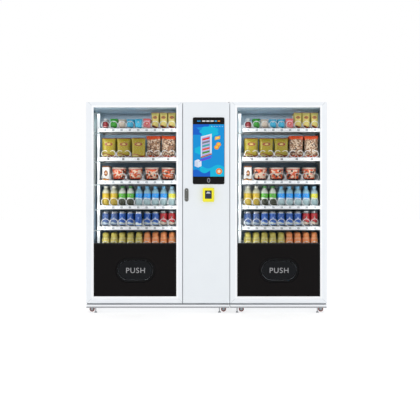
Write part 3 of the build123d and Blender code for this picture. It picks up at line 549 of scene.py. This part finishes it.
def place_shape(name, shape, finishes, body):
    """Make a piece of a finished shape; it rides on a CAD body."""
    bmesh.ops.recalc_face_normals(shape.mesh, faces=shape.mesh.faces)
    mesh = bpy.data.meshes.new(name)
    shape.mesh.to_mesh(mesh)
    shape.mesh.free()
    for finish in finishes:
        mesh.materials.append(finish)
    made = add_object(name, mesh)
    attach(made, body)


def rounded(low_x, low_z, high_x, high_z, radius, steps=5):
    """The (x, z) outline of a rectangle with round corners."""
    points = []
    corners = (
        (high_x - radius, high_z - radius, 0),
        (low_x + radius, high_z - radius, 1),
        (low_x + radius, low_z + radius, 2),
        (high_x - radius, low_z + radius, 3),
    )
    for x, z, quarter in corners:
        for step in range(steps + 1):
            angle = math.pi / 2 * (quarter + step / steps)
            points.append((x + radius * math.cos(angle), z + radius * math.sin(angle)))
    return points


def one(colour):
    """The same colour for all three inks."""
    return (colour,) * 3


def oval(x, z, half_width, half_height, steps=28):
    turns = [2 * math.pi * i / steps for i in range(steps)]
    return [(x + half_width * math.cos(a), z + half_height * math.sin(a)) for a in turns]


# ---- coils
rail_drop = 0.028
lane_pitch = 0.078
lanes = 9
wide_lanes = 5
wide_pitch = lane_pitch * lanes / wide_lanes
wide_coil_offset = 0.0345
coil_height = 0.040
coil_front_y = -0.195
coil_back_y = 0.238
wire_radius = 0.0026
hub_profile = ((0.006, 0.0), (0.012, 0.001), (0.012, 0.009), (0.006, 0.010))
coil_turns = (8, 8, 3, 6, 6, 6)
# (lane, tray) of the main cabinet whose coils are CAD nodes
live_lane = lanes // 2
live_rows = (0, 4)
wide_row = 1
pair_row = 2


def trays():
    """Cabinet, row, node, middle X and floor Z of every tray."""
    for cabinet in cabinets:
        for row in range(6):
            tray = f"{cabinet}_tray_{row + 1}"
            low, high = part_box(tray)
            yield cabinet, row, tray, (low[0] + high[0]) / 2, low[2] + rail_drop


def coil_lanes(cabinet, row):
    """X offset, radius and hand of each coil on a tray that has no CAD node of its own."""
    found = []
    if row == wide_row:
        for lane in range(wide_lanes):
            if cabinet == "main" and lane == wide_lanes // 2:
                continue
            middle = (lane - (wide_lanes - 1) / 2) * wide_pitch
            found += [(middle - wide_coil_offset, 0.031, -1), (middle + wide_coil_offset, 0.031, 1)]
        return found
    for lane in range(lanes):
        if cabinet == "main" and row in live_rows and lane == live_lane:
            continue
        hand = 1 if row == pair_row and lane > 0 and lane % 2 == 0 else -1
        found.append(((lane - live_lane) * lane_pitch, 0.036, hand))
    return found


def helix(shape, x, z, radius, turns, hand):
    """A coil that starts low at the front and rises on the left when hand is -1."""
    steps = 16 * turns
    points = []
    for i in range(steps + 1):
        angle = -math.pi / 2 + hand * 2 * math.pi * turns * i / steps
        y = coil_front_y + (coil_back_y - coil_front_y) * i / steps
        points.append(Vector((x + radius * math.cos(angle), y, z + radius * math.sin(angle))))
    shape.tube(points, wire_radius)
    # the spoke and hub that the motor's shaft drives
    shape.tube([points[-1], Vector((x, coil_back_y, z))], wire_radius)
    shape.stack([(oval(x, z, size, size, 14), coil_back_y - 0.003 + along) for size, along in hub_profile])


for cabinet, row, tray, middle_x, floor_z in trays():
    shape = Shape()
    for offset, radius, hand in coil_lanes(cabinet, row):
        helix(shape, middle_x + offset, floor_z + coil_height, radius, coil_turns[row], hand)
    place_shape(f"{tray}_coils", shape, (wire,), tray)

# ---- price tags
tag_half_width = 0.010
tag_half_height = 0.008
tag_proud = 0.0014
tag_drop = 0.011             # from the tray's floor to a tag's middle

for cabinet, row, tray, middle_x, floor_z in trays():
    low, high = corners_of(tray)
    shape = Shape()
    # the ticket channel's two lips, each a slim rounded bar
    shape.finish = 1
    for z in (floor_z - 0.0235, floor_z + 0.0015):
        shape.bar(middle_x, z, (high.x - low.x) / 2 - 0.002, 0.0015, 0.0014, low.y, 0.002, 0.0006)
    shape.finish = 0
    count, pitch = (wide_lanes, wide_pitch) if row == wide_row else (lanes, lane_pitch)
    z = floor_z - tag_drop
    for lane in range(count):
        x = middle_x + (lane - (count - 1) / 2) * pitch
        shape.colours = one(srgb(28, 28, 32) if row == wide_row else srgb(128, 140, 150))
        shape.bar(x, z, tag_half_width, tag_half_height, 0.002, low.y, tag_proud, 0.0004)
        shape.colours = one(srgb(235, 238, 240))
        for height in (-0.0019, 0.0021):
            shape.bar(x, z + height, 0.006, 0.0011, 0.0009, low.y - tag_proud, 0.0002, steps=2)
    place_shape(f"{tray}_tags", shape, (plastic, tray_white), tray)

# ---- goods
in_film, in_label, in_card, in_plastic, in_metal, in_nut_film, in_cup_print = range(7)
goods_finishes = (film, label, card, plastic, can_metal, nut_film, cup_print)
stand = 0.0065               # goods stand on the lowest stretch of the wire
silver = one(srgb(200, 204, 208))
chance = random.Random(5)


def turned(*bands, segments=18):
    """What makes a turned pack out of bands: a finish, a plain colour's place or None, and rings.

    A ring is (radius, height) in shares of the pack's own, and any length to add to its height.
    """

    def make(shape, x, y, z, width, height, colours):
        profile = []
        for finish, plain, *rings in bands:
            tones = one(colours[plain]) if plain else silver if finish == in_metal else colours[:3]
            for across, up, *more in rings:
                profile.append((width / 2 * across, height * up + sum(more), finish, tones))
        shape.revolve(x, y, z, profile, segments)

    return make


# places in a product's colours, after the three inks of its print
body_tone, cap_tone, foot_tone = 3, 4, 5
bottle = turned(
    (in_plastic, foot_tone, (0.80, 0), (0.98, 0, 0.004), (1, 0, 0.012), (0.96, 0.10), (1, 0.16)),
    (in_label, None, (1, 0.33)),
    (in_plastic, body_tone, (1, 0.62), (0.95, 0.69), (0.78, 0.77), (0.50, 0.84), (0.42, 0.87)),
    (in_plastic, cap_tone, (0.42, 0.885), (0.50, 0.89), (0.50, 0.985), (0.44, 1)),
)
squat_bottle = turned(
    (in_plastic, body_tone, (0.82, 0), (1, 0, 0.006)),
    (in_label, None, (1, 0.12)),
    (in_plastic, body_tone, (1, 0.58), (0.90, 0.66)),
    (in_plastic, cap_tone, (0.80, 0.69), (0.84, 0.71), (0.84, 0.86), (0.76, 0.94), (0.55, 0.985)),
    (in_plastic, cap_tone, (0.25, 1)),
)
jar = turned(
    (in_plastic, body_tone, (0.85, 0), (1, 0, 0.005)),
    (in_label, None, (1, 0.10)),
    (in_plastic, body_tone, (1, 0.62), (0.85, 0.72)),
    (in_plastic, cap_tone, (0.60, 0.79), (0.68, 0.80), (0.68, 0.98), (0.60, 1)),
)
can = turned(
    (in_metal, None, (0.76, 0), (0.84, 0, 0.001), (0.97, 0.045)),
    (in_label, None, (1, 0.09)),
    (in_metal, None, (1, 0.88), (0.90, 0.945), (0.86, 0.965), (0.89, 0.98), (0.88, 1), (0.84, 0.995)),
    (in_metal, None, (0.82, 0.965)),
)
cup = turned(
    (in_plastic, body_tone, (0.70, 0), (0.74, 0, 0.003)),
    (in_cup_print, None, (0.76, 0.14)),
    (in_plastic, cap_tone, (0.94, 0.86), (0.95, 0.90), (1, 0.915), (1, 0.955), (0.95, 0.97)),
    (in_plastic, cap_tone, (0.90, 1), (0.40, 0.995)),
    segments=28,
)


def carton(shape, x, y, z, width, height, colours):
    """A folded card box with soft edges."""
    half_w, half_d, edge = width / 2, width * 0.28, 0.0025
    shape.finish, shape.colours = in_card, colours[:3]
    rings = []
    for lift, inset in ((0.0, edge), (edge, 0.0), (height - edge, 0.0), (height, edge)):
        w, d, e = half_w - inset, half_d - inset, edge
        front_points = ((-w, -d + e), (-w + e, -d), (w - e, -d), (w, -d + e))
        points = front_points + tuple((px, -py) for px, py in reversed(front_points))
        rings.append([shape.vertex(x + px, y + py, z + lift) for px, py in points])
    heights = (0.0, 0.02, 0.98, 1.0)
    for level in range(3):
        for i in range(8):
            j = (i + 1) % 8
            low, high = heights[level], heights[level + 1]
            near, far = (0.0, 1.0) if i % 2 else (0.0, 0.02)
            corners = (rings[level][i], rings[level][j], rings[level + 1][j], rings[level + 1][i])
            shape.face(corners, ((near, low), (far, low), (far, high), (near, high)), smooth=False)
    shape.face(rings[0][::-1], smooth=False)
    shape.face(rings[-1], [(0.1, 0.95)] * 8, smooth=False)


def pouch(shape, x, y, z, width, height, colours, finish=in_film, depth=0.044, across=10, up=16):
    """A filled film bag: two bulging sheets with flat, toothed seals above and below."""
    shape.finish, shape.colours = finish, colours[:3]
    seal = 0.06
    sheets = []
    for side in (-1, 1):
        rows = []
        for j in range(up + 1):
            v = j / up
            fill = min(1.0, max(0.0, (v - seal) / (1 - 2 * seal)))
            plump = math.sqrt(max(0.0, 1 - abs(2 * fill - 1) ** 3))
            line = []
            for i in range(across + 1):
                u = i / across
                bulge = math.sqrt(max(0.0, 1 - abs(2 * u - 1) ** 2.4)) * plump
                crease = chance.uniform(-0.0016, 0.0016) if 0 < i < across and bulge > 0.2 else 0.0
                tooth = 0.0012 * (i % 2) * (1 if j == up else -1 if j == 0 else 0)
                half = max(0.0006, depth / 2 * bulge + crease)
                px = (u - 0.5) * width * (1 - 0.06 * plump)
                line.append(shape.vertex(x + px, y + side * half, z + height * v - tooth))
            rows.append(line)
        sheets.append(rows)
    for rows in sheets:
        for j in range(up):
            for i in range(across):
                spots = [(a / across, b / up) for a, b in ((i, j), (i + 1, j), (i + 1, j + 1), (i, j + 1))]
                shape.face((rows[j][i], rows[j][i + 1], rows[j + 1][i + 1], rows[j + 1][i]), spots)
    front, back = sheets
    for i in range(across):
        for j in (0, up):
            shape.face((front[j][i], front[j][i + 1], back[j][i + 1], back[j][i]))
    for j in range(up):
        for i in (0, across):
            shape.face((front[j][i], front[j + 1][i], back[j + 1][i], back[j][i]))


nut_pouch = partial(pouch, finish=in_nut_film)


def inks_of(*tones):
    """A product's colours: its print's three inks, then those of its plain parts."""
    return tuple(srgb(*tone) for tone in tones)


green_pack = inks_of((60, 168, 48), (232, 240, 230), (30, 110, 40))
beige_pack = inks_of((222, 206, 186), (206, 150, 146), (236, 226, 210))
sky_pack = inks_of((72, 196, 236), (232, 244, 248), (40, 160, 200))
pink_box = inks_of((242, 140, 146), (250, 214, 196), (226, 74, 60))
dark_jar = inks_of((146, 24, 34), (226, 160, 158), (96, 14, 20), (46, 26, 26), (206, 210, 214))
tall_bag = inks_of((232, 214, 120), (66, 64, 52), (196, 86, 52))
crisp_bag = inks_of((158, 142, 28), (214, 200, 120), (140, 40, 44))
nut_bag = inks_of((206, 184, 158), (140, 100, 72), (216, 76, 30))
snack_box = inks_of((240, 240, 236), (238, 156, 44), (140, 92, 62))
noodle_cup = inks_of((232, 96, 46), (244, 216, 190), (206, 60, 36), (52, 34, 32), (226, 206, 190))
lemon_foot, water_foot, pale_cap = (182, 156, 50), (168, 196, 200), (160, 204, 226)
lemon = inks_of((198, 168, 30), (220, 200, 110), (176, 142, 44), (190, 190, 164), (206, 208, 196), lemon_foot)
tea = inks_of((84, 178, 44), (236, 240, 230), (40, 110, 44), (206, 212, 200), (76, 140, 78), (58, 60, 38))
water = inks_of((30, 156, 240), (214, 236, 248), (24, 104, 206), (142, 186, 206), (110, 176, 214), water_foot)
gold_water = inks_of((240, 232, 70), (250, 250, 230), (206, 214, 90), (176, 204, 216), pale_cap, water_foot)
steel_can = inks_of((62, 92, 146), (168, 186, 196), (52, 76, 128))
blue_can = inks_of((10, 78, 160), (206, 216, 214), (44, 110, 196))
red_can = inks_of((176, 28, 36), (206, 190, 172), (60, 50, 46))
honey = inks_of((228, 214, 110), (250, 244, 196), (176, 150, 62), (222, 212, 130), (216, 202, 96))
orange = inks_of((255, 160, 90), (255, 232, 206), (238, 110, 60), (255, 178, 124), (255, 158, 92))

# each row's goods from left to right: maker, width, height, depth and colours, with how many lanes alike
shelves = (
    (
        (jar, 0.052, 0.102, 0.052, dark_jar, 1),
        (pouch, 0.068, 0.100, 0.044, green_pack, 1),
        (pouch, 0.068, 0.095, 0.044, beige_pack, 1),
        (pouch, 0.068, 0.095, 0.044, sky_pack, 2),
        (carton, 0.066, 0.100, 0.037, pink_box, 1),
        (pouch, 0.073, 0.159, 0.044, tall_bag, 3),
    ),
    (
        (pouch, 0.132, 0.190, 0.044, crisp_bag, 3),
        (nut_pouch, 0.134, 0.211, 0.044, nut_bag, 2),
    ),
    (
        (carton, 0.068, 0.146, 0.038, snack_box, 1),
        (cup, 0.136, 0.132, 0.136, noodle_cup, 4),
    ),
    (
        (bottle, 0.069, 0.192, 0.069, lemon, 2),
        (bottle, 0.069, 0.190, 0.069, tea, 2),
        (bottle, 0.069, 0.188, 0.069, water, 4),
        (bottle, 0.069, 0.188, 0.069, gold_water, 1),
    ),
    (
        (can, 0.068, 0.143, 0.068, steel_can, 2),
        (can, 0.068, 0.143, 0.068, blue_can, 5),
        (can, 0.068, 0.150, 0.068, red_can, 2),
    ),
    (
        (squat_bottle, 0.069, 0.160, 0.069, honey, 5),
        (squat_bottle, 0.069, 0.162, 0.069, orange, 4),
    ),
)
goods_deep = (4, 4, 2, 4, 4, 4)
live_width = 0.062           # the widest turned goods that the working coils leave room for


def lane_middles(row):
    """X of each lane's goods from the tray's middle."""
    if row == wide_row:
        return [(lane - (wide_lanes - 1) / 2) * wide_pitch for lane in range(wide_lanes)]
    if row == pair_row:
        return [-live_lane * lane_pitch] + [(lane - live_lane) * lane_pitch for lane in (1.5, 3.5, 5.5, 7.5)]
    return [(lane - live_lane) * lane_pitch for lane in range(lanes)]


for cabinet, row, tray, middle_x, floor_z in trays():
    pitch = (coil_back_y - coil_front_y) / coil_turns[row]
    stock = [kind[:-1] for kind in shelves[row] for _ in range(kind[-1])]
    live = wide_lanes // 2 if row == wide_row else live_lane
    shape = Shape()
    for lane, (maker, width, height, depth, colours) in enumerate(stock):
        x = middle_x + lane_middles(row)[lane]
        is_live = cabinet == "main" and row in (*live_rows, wide_row) and lane == live
        for place in range(1 if is_live else goods_deep[row]):
            lean = chance.uniform(-0.0015, 0.0015)
            front = coil_front_y + (0.0 if is_live else pitch * (place + 0.5) + 0.003)
            lift = 0.0005 if is_live else stand
            wide = min(width, live_width) if is_live and depth == width else width
            deep = depth * wide / width
            maker(shape, x + lean, front + deep / 2, floor_z + lift, wide, height - lift, colours)
    place_shape(f"{tray}_goods", shape, goods_finishes, tray)

# ---- door trims
trim_width = 0.018
trim_proud = 0.0022
glass_hidden = 0.011         # how far the glass reaches behind the frame's lip
mitre_half_width = 0.0006
# the ring that steps out from the frame's face, then slopes in to the opening: (outwards, proud)
trim_section = (
    (trim_width, 0.0),
    (trim_width - 0.0015, trim_proud),
    (0.0085, trim_proud),
    (0.0004, -0.0035),
    (0.0015, -0.0035),
    (0.0085, -0.0002),
)
for cabinet in cabinets:
    frame_low, frame_high = corners_of(f"{cabinet}_door_frame")
    glass_low, glass_high = corners_of(f"{cabinet}_door_glass")
    panel_low, panel_high = corners_of(f"{cabinet}_lower_panel")
    low = (glass_low.x + glass_hidden, panel_low.z + glass_hidden)
    high = (glass_high.x - glass_hidden, glass_high.z - glass_hidden)
    front_y = frame_low.y
    shape = Shape()
    rings = []
    for outward, proud in trim_section:
        left, right, bottom, top = low[0] - outward, high[0] + outward, low[1] - outward, high[1] + outward
        corners = ((left, bottom), (right, bottom), (right, top), (left, top))
        rings.append([shape.vertex(x, front_y - proud, z) for x, z in corners])
    for first, second in zip(rings, rings[1:] + rings[:1]):
        shape.sides(first, second)
    # mitre lines at the four corners of the frame
    shape.finish = 1
    for side_x, edge_x, outer_x in ((-1, low[0], frame_low.x), (1, high[0], frame_high.x)):
        for side_z, edge_z, outer_z in ((-1, low[1], frame_low.z), (1, high[1], frame_high.z)):
            start = Vector((edge_x + side_x * (trim_width + 0.001), edge_z + side_z * (trim_width + 0.001)))
            reach = min(abs(outer_x - start.x), abs(outer_z - start.y)) - 0.002
            end = start + Vector((side_x, side_z)) * reach
            across = Vector((-side_z, side_x)) * mitre_half_width
            outline = [start + across, end + across, end - across, start - across]
            shape.prism([(p.x, p.y) for p in outline], front_y, 0.0002)
    # the bead between the glass and the dark panel
    shape.finish = 2
    bead = rounded(low[0], panel_high.z - 0.001, high[0], glass_low.z + 0.006, 0.0025, 3)
    shape.prism(bead, panel_low.y + 0.002, 0.004, 0.001)
    place_shape(f"{cabinet}_door_trim", shape, (trim_enamel, seam, rubber), f"{cabinet}_door")

# ---- flap wording
letters_width = 0.172
letters_height = 0.048
for cabinet in cabinets:
    flap_low, flap_high = corners_of(f"{cabinet}_delivery_flap")
    flap_middle = (flap_low + flap_high) / 2
    curve = bpy.data.curves.new(f"{cabinet}_push_curve", "FONT")
    curve.body = "PUSH"
    curve.extrude = 0.01
    curve.space_character = 1.12
    text = add_object(f"{cabinet}_push_text", curve)
    bpy.context.view_layer.update()
    mesh = bpy.data.meshes.new_from_object(text.evaluated_get(bpy.context.evaluated_depsgraph_get()))
    bpy.data.objects.remove(text)
    bpy.data.curves.remove(curve)
    low = Vector([min(v.co[i] for v in mesh.vertices) for i in range(3)])
    high = Vector([max(v.co[i] for v in mesh.vertices) for i in range(3)])
    size = high - low
    for vertex in mesh.vertices:
        part = [(vertex.co[i] - low[i]) / size[i] - 0.5 for i in range(3)]
        vertex.co = (
            flap_middle.x + part[0] * letters_width,
            flap_low.y - 0.0003 - part[2] * 0.0008,
            flap_middle.z - 0.001 + part[1] * letters_height,
        )
    mesh.materials.clear()
    mesh.materials.append(letter_grey)
    letters = add_object(f"{cabinet}_push_letters", mesh)
    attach(letters, f"{cabinet}_flap")

# ---- touch screen
screen_low, screen_high = corners_of("touch_screen")
bezel_y = screen_low.y
margin = 0.003
display_x = (screen_low.x + margin, screen_high.x - margin)
display_z = (screen_low.z + 0.070, screen_high.z - 0.064)
layer = 0.0002


class Picture(Shape):
    """Flat lit shapes laid over one another on the display, in shares of its width and height."""

    def at(self, across, up):
        x = display_x[0] + across * (display_x[1] - display_x[0])
        z = display_z[0] + up * (display_z[1] - display_z[0])
        return x, z

    def put(self, outline, tone, level):
        self.colours = one(srgb(*tone))
        self.prism([self.at(u, v) for u, v in outline], bezel_y, layer * (1 + level))

    def round(self, across, up, radius, tone, level, squash=1.0, bumps=0, swell=0.0):
        """A disc, or a cloud when it has bumps. The radius is a share of the display's width."""
        tall = (display_x[1] - display_x[0]) / (display_z[1] - display_z[0])
        outline = []
        for i in range(64):
            angle = 2 * math.pi * i / 64
            size = radius * (1 + swell * abs(math.sin(bumps * angle / 2)))
            outline.append((across + size * math.cos(angle), up + size * squash * tall * math.sin(angle)))
        self.put(outline, tone, level)


def hill(left, right, base, top, waves, phase):
    """An outline that is flat below and wavy above, within the display."""
    points = [(left, base)]
    for i in range(33):
        share = i / 32
        height = top + 0.035 * math.sin(waves * 2 * math.pi * share + phase)
        points.append((left + (right - left) * share, height))
    return [(u, min(1.0, max(0.0, v))) for u, v in points + [(right, base)]]


picture = Picture()
sky, deep, cyan, pale = (8, 148, 222), (14, 98, 206), (0, 186, 226), (226, 236, 250)
picture.put([(0, 0), (1, 0), (1, 1), (0, 1)], sky, 0)
picture.put(hill(0.0, 0.62, 0.80, 0.90, 1.5, 0.4)[::-1], deep, 1)
picture.put([(0, 0.93), (0.52, 0.96), (0.52, 1), (0, 1)], deep, 1)
picture.round(0.52, 0.86, 0.26, cyan, 2, 0.6, 7, 0.22)
picture.round(0.20, 0.50, 0.13, cyan, 2, 0.8, 6, 0.25)
picture.put(hill(0.22, 1.0, 0.0, 0.19, 1.2, 2.2), cyan, 2)
picture.put(hill(0.0, 0.55, 0.0, 0.10, 1.0, 0.5), deep, 3)
# a small slanted picture of a vending machine, its right side higher, on a violet plate
picture.put([(0.17, 0.275), (0.56, 0.345), (0.62, 0.40), (0.23, 0.33)], (92, 84, 224), 4)
for left, right, tilts, tone, level in (
    (0.25, 0.60, (0.354, 0.423, 0.82, 0.765), pale, 5),
    (0.28, 0.55, (0.385, 0.438, 0.785, 0.74), (176, 170, 224), 6),
    (0.25, 0.60, (0.354, 0.423, 0.447, 0.378), (196, 92, 40), 7),
):
    picture.put(list(zip((left, right, right, left), tilts)), tone, level)
shelf_tones = ((226, 60, 50), (120, 130, 140), (60, 170, 170), (230, 90, 60), (70, 150, 60))
for number, tone in enumerate(shelf_tones):
    top = 0.722 - 0.064 * number
    picture.put([(0.30, top - 0.036), (0.53, top), (0.53, top + 0.034), (0.30, top)], tone, 7)
    picture.put([(0.30, top - 0.046), (0.53, top - 0.010), (0.53, top - 0.003), (0.30, top - 0.039)], pale, 8)
# a ticket, two coins, a parcel and a row of dots
picture.put([(0.70, 0.70), (0.86, 0.72), (0.87, 0.78), (0.71, 0.76)], (250, 176, 40), 4)
picture.put([(0.73, 0.722), (0.83, 0.734), (0.835, 0.762), (0.735, 0.75)], (255, 226, 120), 5)
for across, up, level in ((0.82, 0.615, 4), (0.76, 0.56, 6)):
    picture.round(across, up, 0.078, (246, 140, 30), level, 0.9)
    picture.round(across, up + 0.006, 0.052, (255, 196, 70), level + 1, 0.9)
picture.put([(0.05, 0.20), (0.16, 0.175), (0.27, 0.20), (0.27, 0.30), (0.16, 0.33), (0.05, 0.30)], pale, 4)
picture.put([(0.06, 0.205), (0.155, 0.185), (0.155, 0.285), (0.06, 0.295)], (206, 218, 240), 5)
picture.round(0.835, 0.10, 0.098, (244, 130, 30), 4)
picture.round(0.835, 0.10, 0.050, (255, 226, 190), 5)
for number in range(5):
    picture.round(0.60 + 0.085 * number, 0.958, 0.011, pale, 4)
place_shape("screen_picture", picture, (screen_light,), "column_door")

strip = Shape()
strip_z = screen_high.z - 0.0345
mark_height = 0.011
light_blue, light_grey = (70, 180, 240), (226, 230, 234)
for x, width, tone in (
    (-0.086, 0.016, (40, 150, 230)),
    (-0.066, 0.010, light_blue),
    (-0.040, 0.030, light_grey),
    (-0.002, 0.030, light_grey),
    (0.036, 0.030, light_grey),
    (0.074, 0.022, light_blue),
    (0.102, 0.022, (244, 150, 50)),
):
    strip.colours = one(srgb(*tone))
    strip.bar(x + width / 2, strip_z, width / 2, mark_height / 2, 0.003, bezel_y, 0.0003)
place_shape("screen_marks", strip, (screen_light,), "column_door")

sensor = Shape()
sensor_x = (screen_low.x + screen_high.x) / 2
sensor_z = screen_low.z + 0.036
sensor.prism(oval(sensor_x, sensor_z, 0.0135, 0.0205), bezel_y, 0.0012, 0.0006)
sensor.finish = 1
sensor.prism(oval(sensor_x, sensor_z, 0.0095, 0.0160), bezel_y - 0.0012, 0.0003)
place_shape("sensor_window", sensor, (steel, navy_window), "column_door")

# ---- card reader and lock
reader_low, reader_high = corners_of("card_reader")
pocket_floor_y = reader_low.y + 0.003
pocket_x = (reader_low.x + 0.021, reader_high.x - 0.023)
pocket_z = (reader_low.z + 0.029, reader_high.z - 0.024)
window = Shape()
pocket = rounded(pocket_x[0], pocket_z[0], pocket_x[1], pocket_z[1], 0.005)
window.prism(pocket, pocket_floor_y, 0.0018, 0.0006)
window.finish = 1
face_y = pocket_floor_y - 0.0018
middle_x = (pocket_x[0] + pocket_x[1]) / 2
icon_z = pocket_z[1] - 0.028
window.colours = one(srgb(196, 204, 214))
icon = [(middle_x - 0.021, icon_z), (middle_x + 0.021, icon_z)]
icon += [(middle_x + 0.009, icon_z + 0.017), (middle_x - 0.009, icon_z + 0.017)]
window.prism(icon, face_y, 0.0004, 0.0001)
for number in range(4):
    x = middle_x - 0.018 + 0.012 * number
    window.colours = one(srgb(60, 200, 120) if number == 0 else srgb(70, 80, 100))
    window.prism(oval(x, pocket_z[0] + 0.010, 0.0018, 0.0018, 14), face_y, 0.0003)
place_shape("reader_window", window, (navy_window, plastic), "column_door")

lock_low, lock_high = corners_of("lock_escutcheon")
lock_x = (lock_low.x + lock_high.x) / 2
plate_y = frame_low.y - 0.003
lock_marks = Shape()
lock_marks.colours = one(srgb(226, 228, 228))
line_z = lock_low.z + 0.0235
lock_marks.bar(lock_x, line_z + 0.0015, 0.013, 0.0015, 0.0012, plate_y, 0.0008, 0.0003)
place_shape("lock_mark", lock_marks, (plastic,), "column_door")

lever_low, lever_high = corners_of("lock_lever")
grip = Shape()
grip_x = (lever_low.x + lever_high.x) / 2
for number in range(5):
    z = lever_low.z + 0.010 + 0.006 * number
    grip.bar(grip_x, z + 0.0012, 0.006, 0.0012, 0.0011, lever_low.y + 0.0002, 0.0008, 0.0003)
place_shape("lever_grip", grip, (lock_metal,), "lock_lever")

# ---- back covers and screws
screw_profile = ((0.0048, 0.0), (0.0048, 0.0006), (0.0038, 0.0014), (0.0016, 0.0017))


def screw(shape, x, y, z):
    """A domed screw head on a surface that faces the back."""
    shape.stack([(oval(x, z, radius, radius, 14), y + proud) for radius, proud in screw_profile])


def raised_band(shape, outline, inner, y, proud):
    """A raised frame on the back: between two outlines with the same number of points."""
    rings = []
    for points, lift in ((outline, 0.0), (outline, proud), (inner, proud), (inner, 0.0)):
        rings.append([shape.vertex(x, y + lift, z) for x, z in points])
    for first, second in zip(rings, rings[1:] + rings[:1]):
        shape.strip(first, second)


cover_spans = ((0.12, 0.47), (0.53, 1.20), (1.26, 1.90))
cover_margin = 0.04
cover_rim = 0.012
inlet_clear_x = 0.06         # the lowest main cover ends here, clear of the power inlet
screw_count = 6
for cabinet in cabinets:
    low, high = corners_of(f"{cabinet}_outer_casing")
    shape = Shape()
    for span in cover_spans:
        bottom, top = span
        left, right = low.x + cover_margin, high.x - cover_margin
        if cabinet == "main" and span == cover_spans[0]:
            right = inlet_clear_x
        shape.finish = 0
        outer = rounded(left, bottom, right, top, 0.02)
        inner = rounded(left + cover_rim, bottom + cover_rim, right - cover_rim, top - cover_rim, 0.012)
        raised_band(shape, outer, inner, high.y, 0.0016)
        shape.finish = 1
        for number in range(screw_count):
            x = left - 0.018 + (right - left + 0.036) * number / (screw_count - 1)
            for z in (bottom - 0.014, top + 0.014):
                screw(shape, x, high.y, z)
    place_shape(f"{cabinet}_back_details", shape, (enamel, steel), "cabinet")

# ---- floor, lights and camera
floor_mesh = bpy.data.meshes.new("floor")
reach = 40.0
corners = [(x * reach, y * reach, -0.0005) for x, y in ((-1, -1), (1, -1), (1, 1), (-1, 1))]
floor_mesh.from_pydata(corners, [], [(0, 1, 2, 3)])
floor_white = surface("floor_white", (186, 186, 186), (190, 190, 190), 0.8, 20.0, 0.02)
floor_shader = floor_white.node_tree.nodes["Principled BSDF"]
floor_shader.inputs["Emission Color"].default_value = white
floor_shader.inputs["Emission Strength"].default_value = 0.56
floor_mesh.materials.append(floor_white)
add_object("floor", floor_mesh)

scene = bpy.context.scene
scene.view_settings.view_transform = "Standard"
world = bpy.data.worlds.new("studio")
world.use_nodes = True
world.node_tree.nodes["Background"].inputs[0].default_value = (1.0, 1.0, 1.0, 1.0)
world.node_tree.nodes["Background"].inputs[1].default_value = 1.0
scene.world = world


def area_light(name, place, target, width, height, power):
    data = bpy.data.lights.new(name, "AREA")
    data.shape = "RECTANGLE"
    data.size, data.size_y = width, height
    data.energy = power
    light = add_object(name, data)
    light.location = place
    light.rotation_euler = (Vector(target) - Vector(place)).to_track_quat("-Z", "Y").to_euler()


shelves_z, shelves_height = 1.235, 1.15
for cabinet, x in (("main", -0.66), ("side", 0.66)):
    area_light(f"{cabinet}_ceiling_light", (x, 0.20, 1.88), (x, 0.24, 0.5), 0.72, 0.05, 1.5)
    place, target = (x - 0.39, 0.1, shelves_z), (x - 0.5, 0.1, shelves_z)
    area_light(f"{cabinet}_wall_light", place, target, 0.10, shelves_height, 0.4)
    for side, power in ((-1, 2.0), (1, 1.0)):
        place, target = (x + side * 0.385, -0.30, shelves_z), (x - side * 0.1, 0.05, shelves_z)
        area_light(f"{cabinet}_shelf_light", place, target, 0.04, shelves_height, power)
area_light("top_light", (0.0, -2.5, 4.5), (0.0, 0.0, 1.0), 4.0, 2.0, 4.0)

camera_data = bpy.data.cameras.new("camera")
camera_data.lens = 84.1
camera = add_object("camera", camera_data)
camera.location = (0.032, -9.38, 1.036)
camera.rotation_euler = (math.pi / 2, 0.0, 0.0)
scene.camera = camera
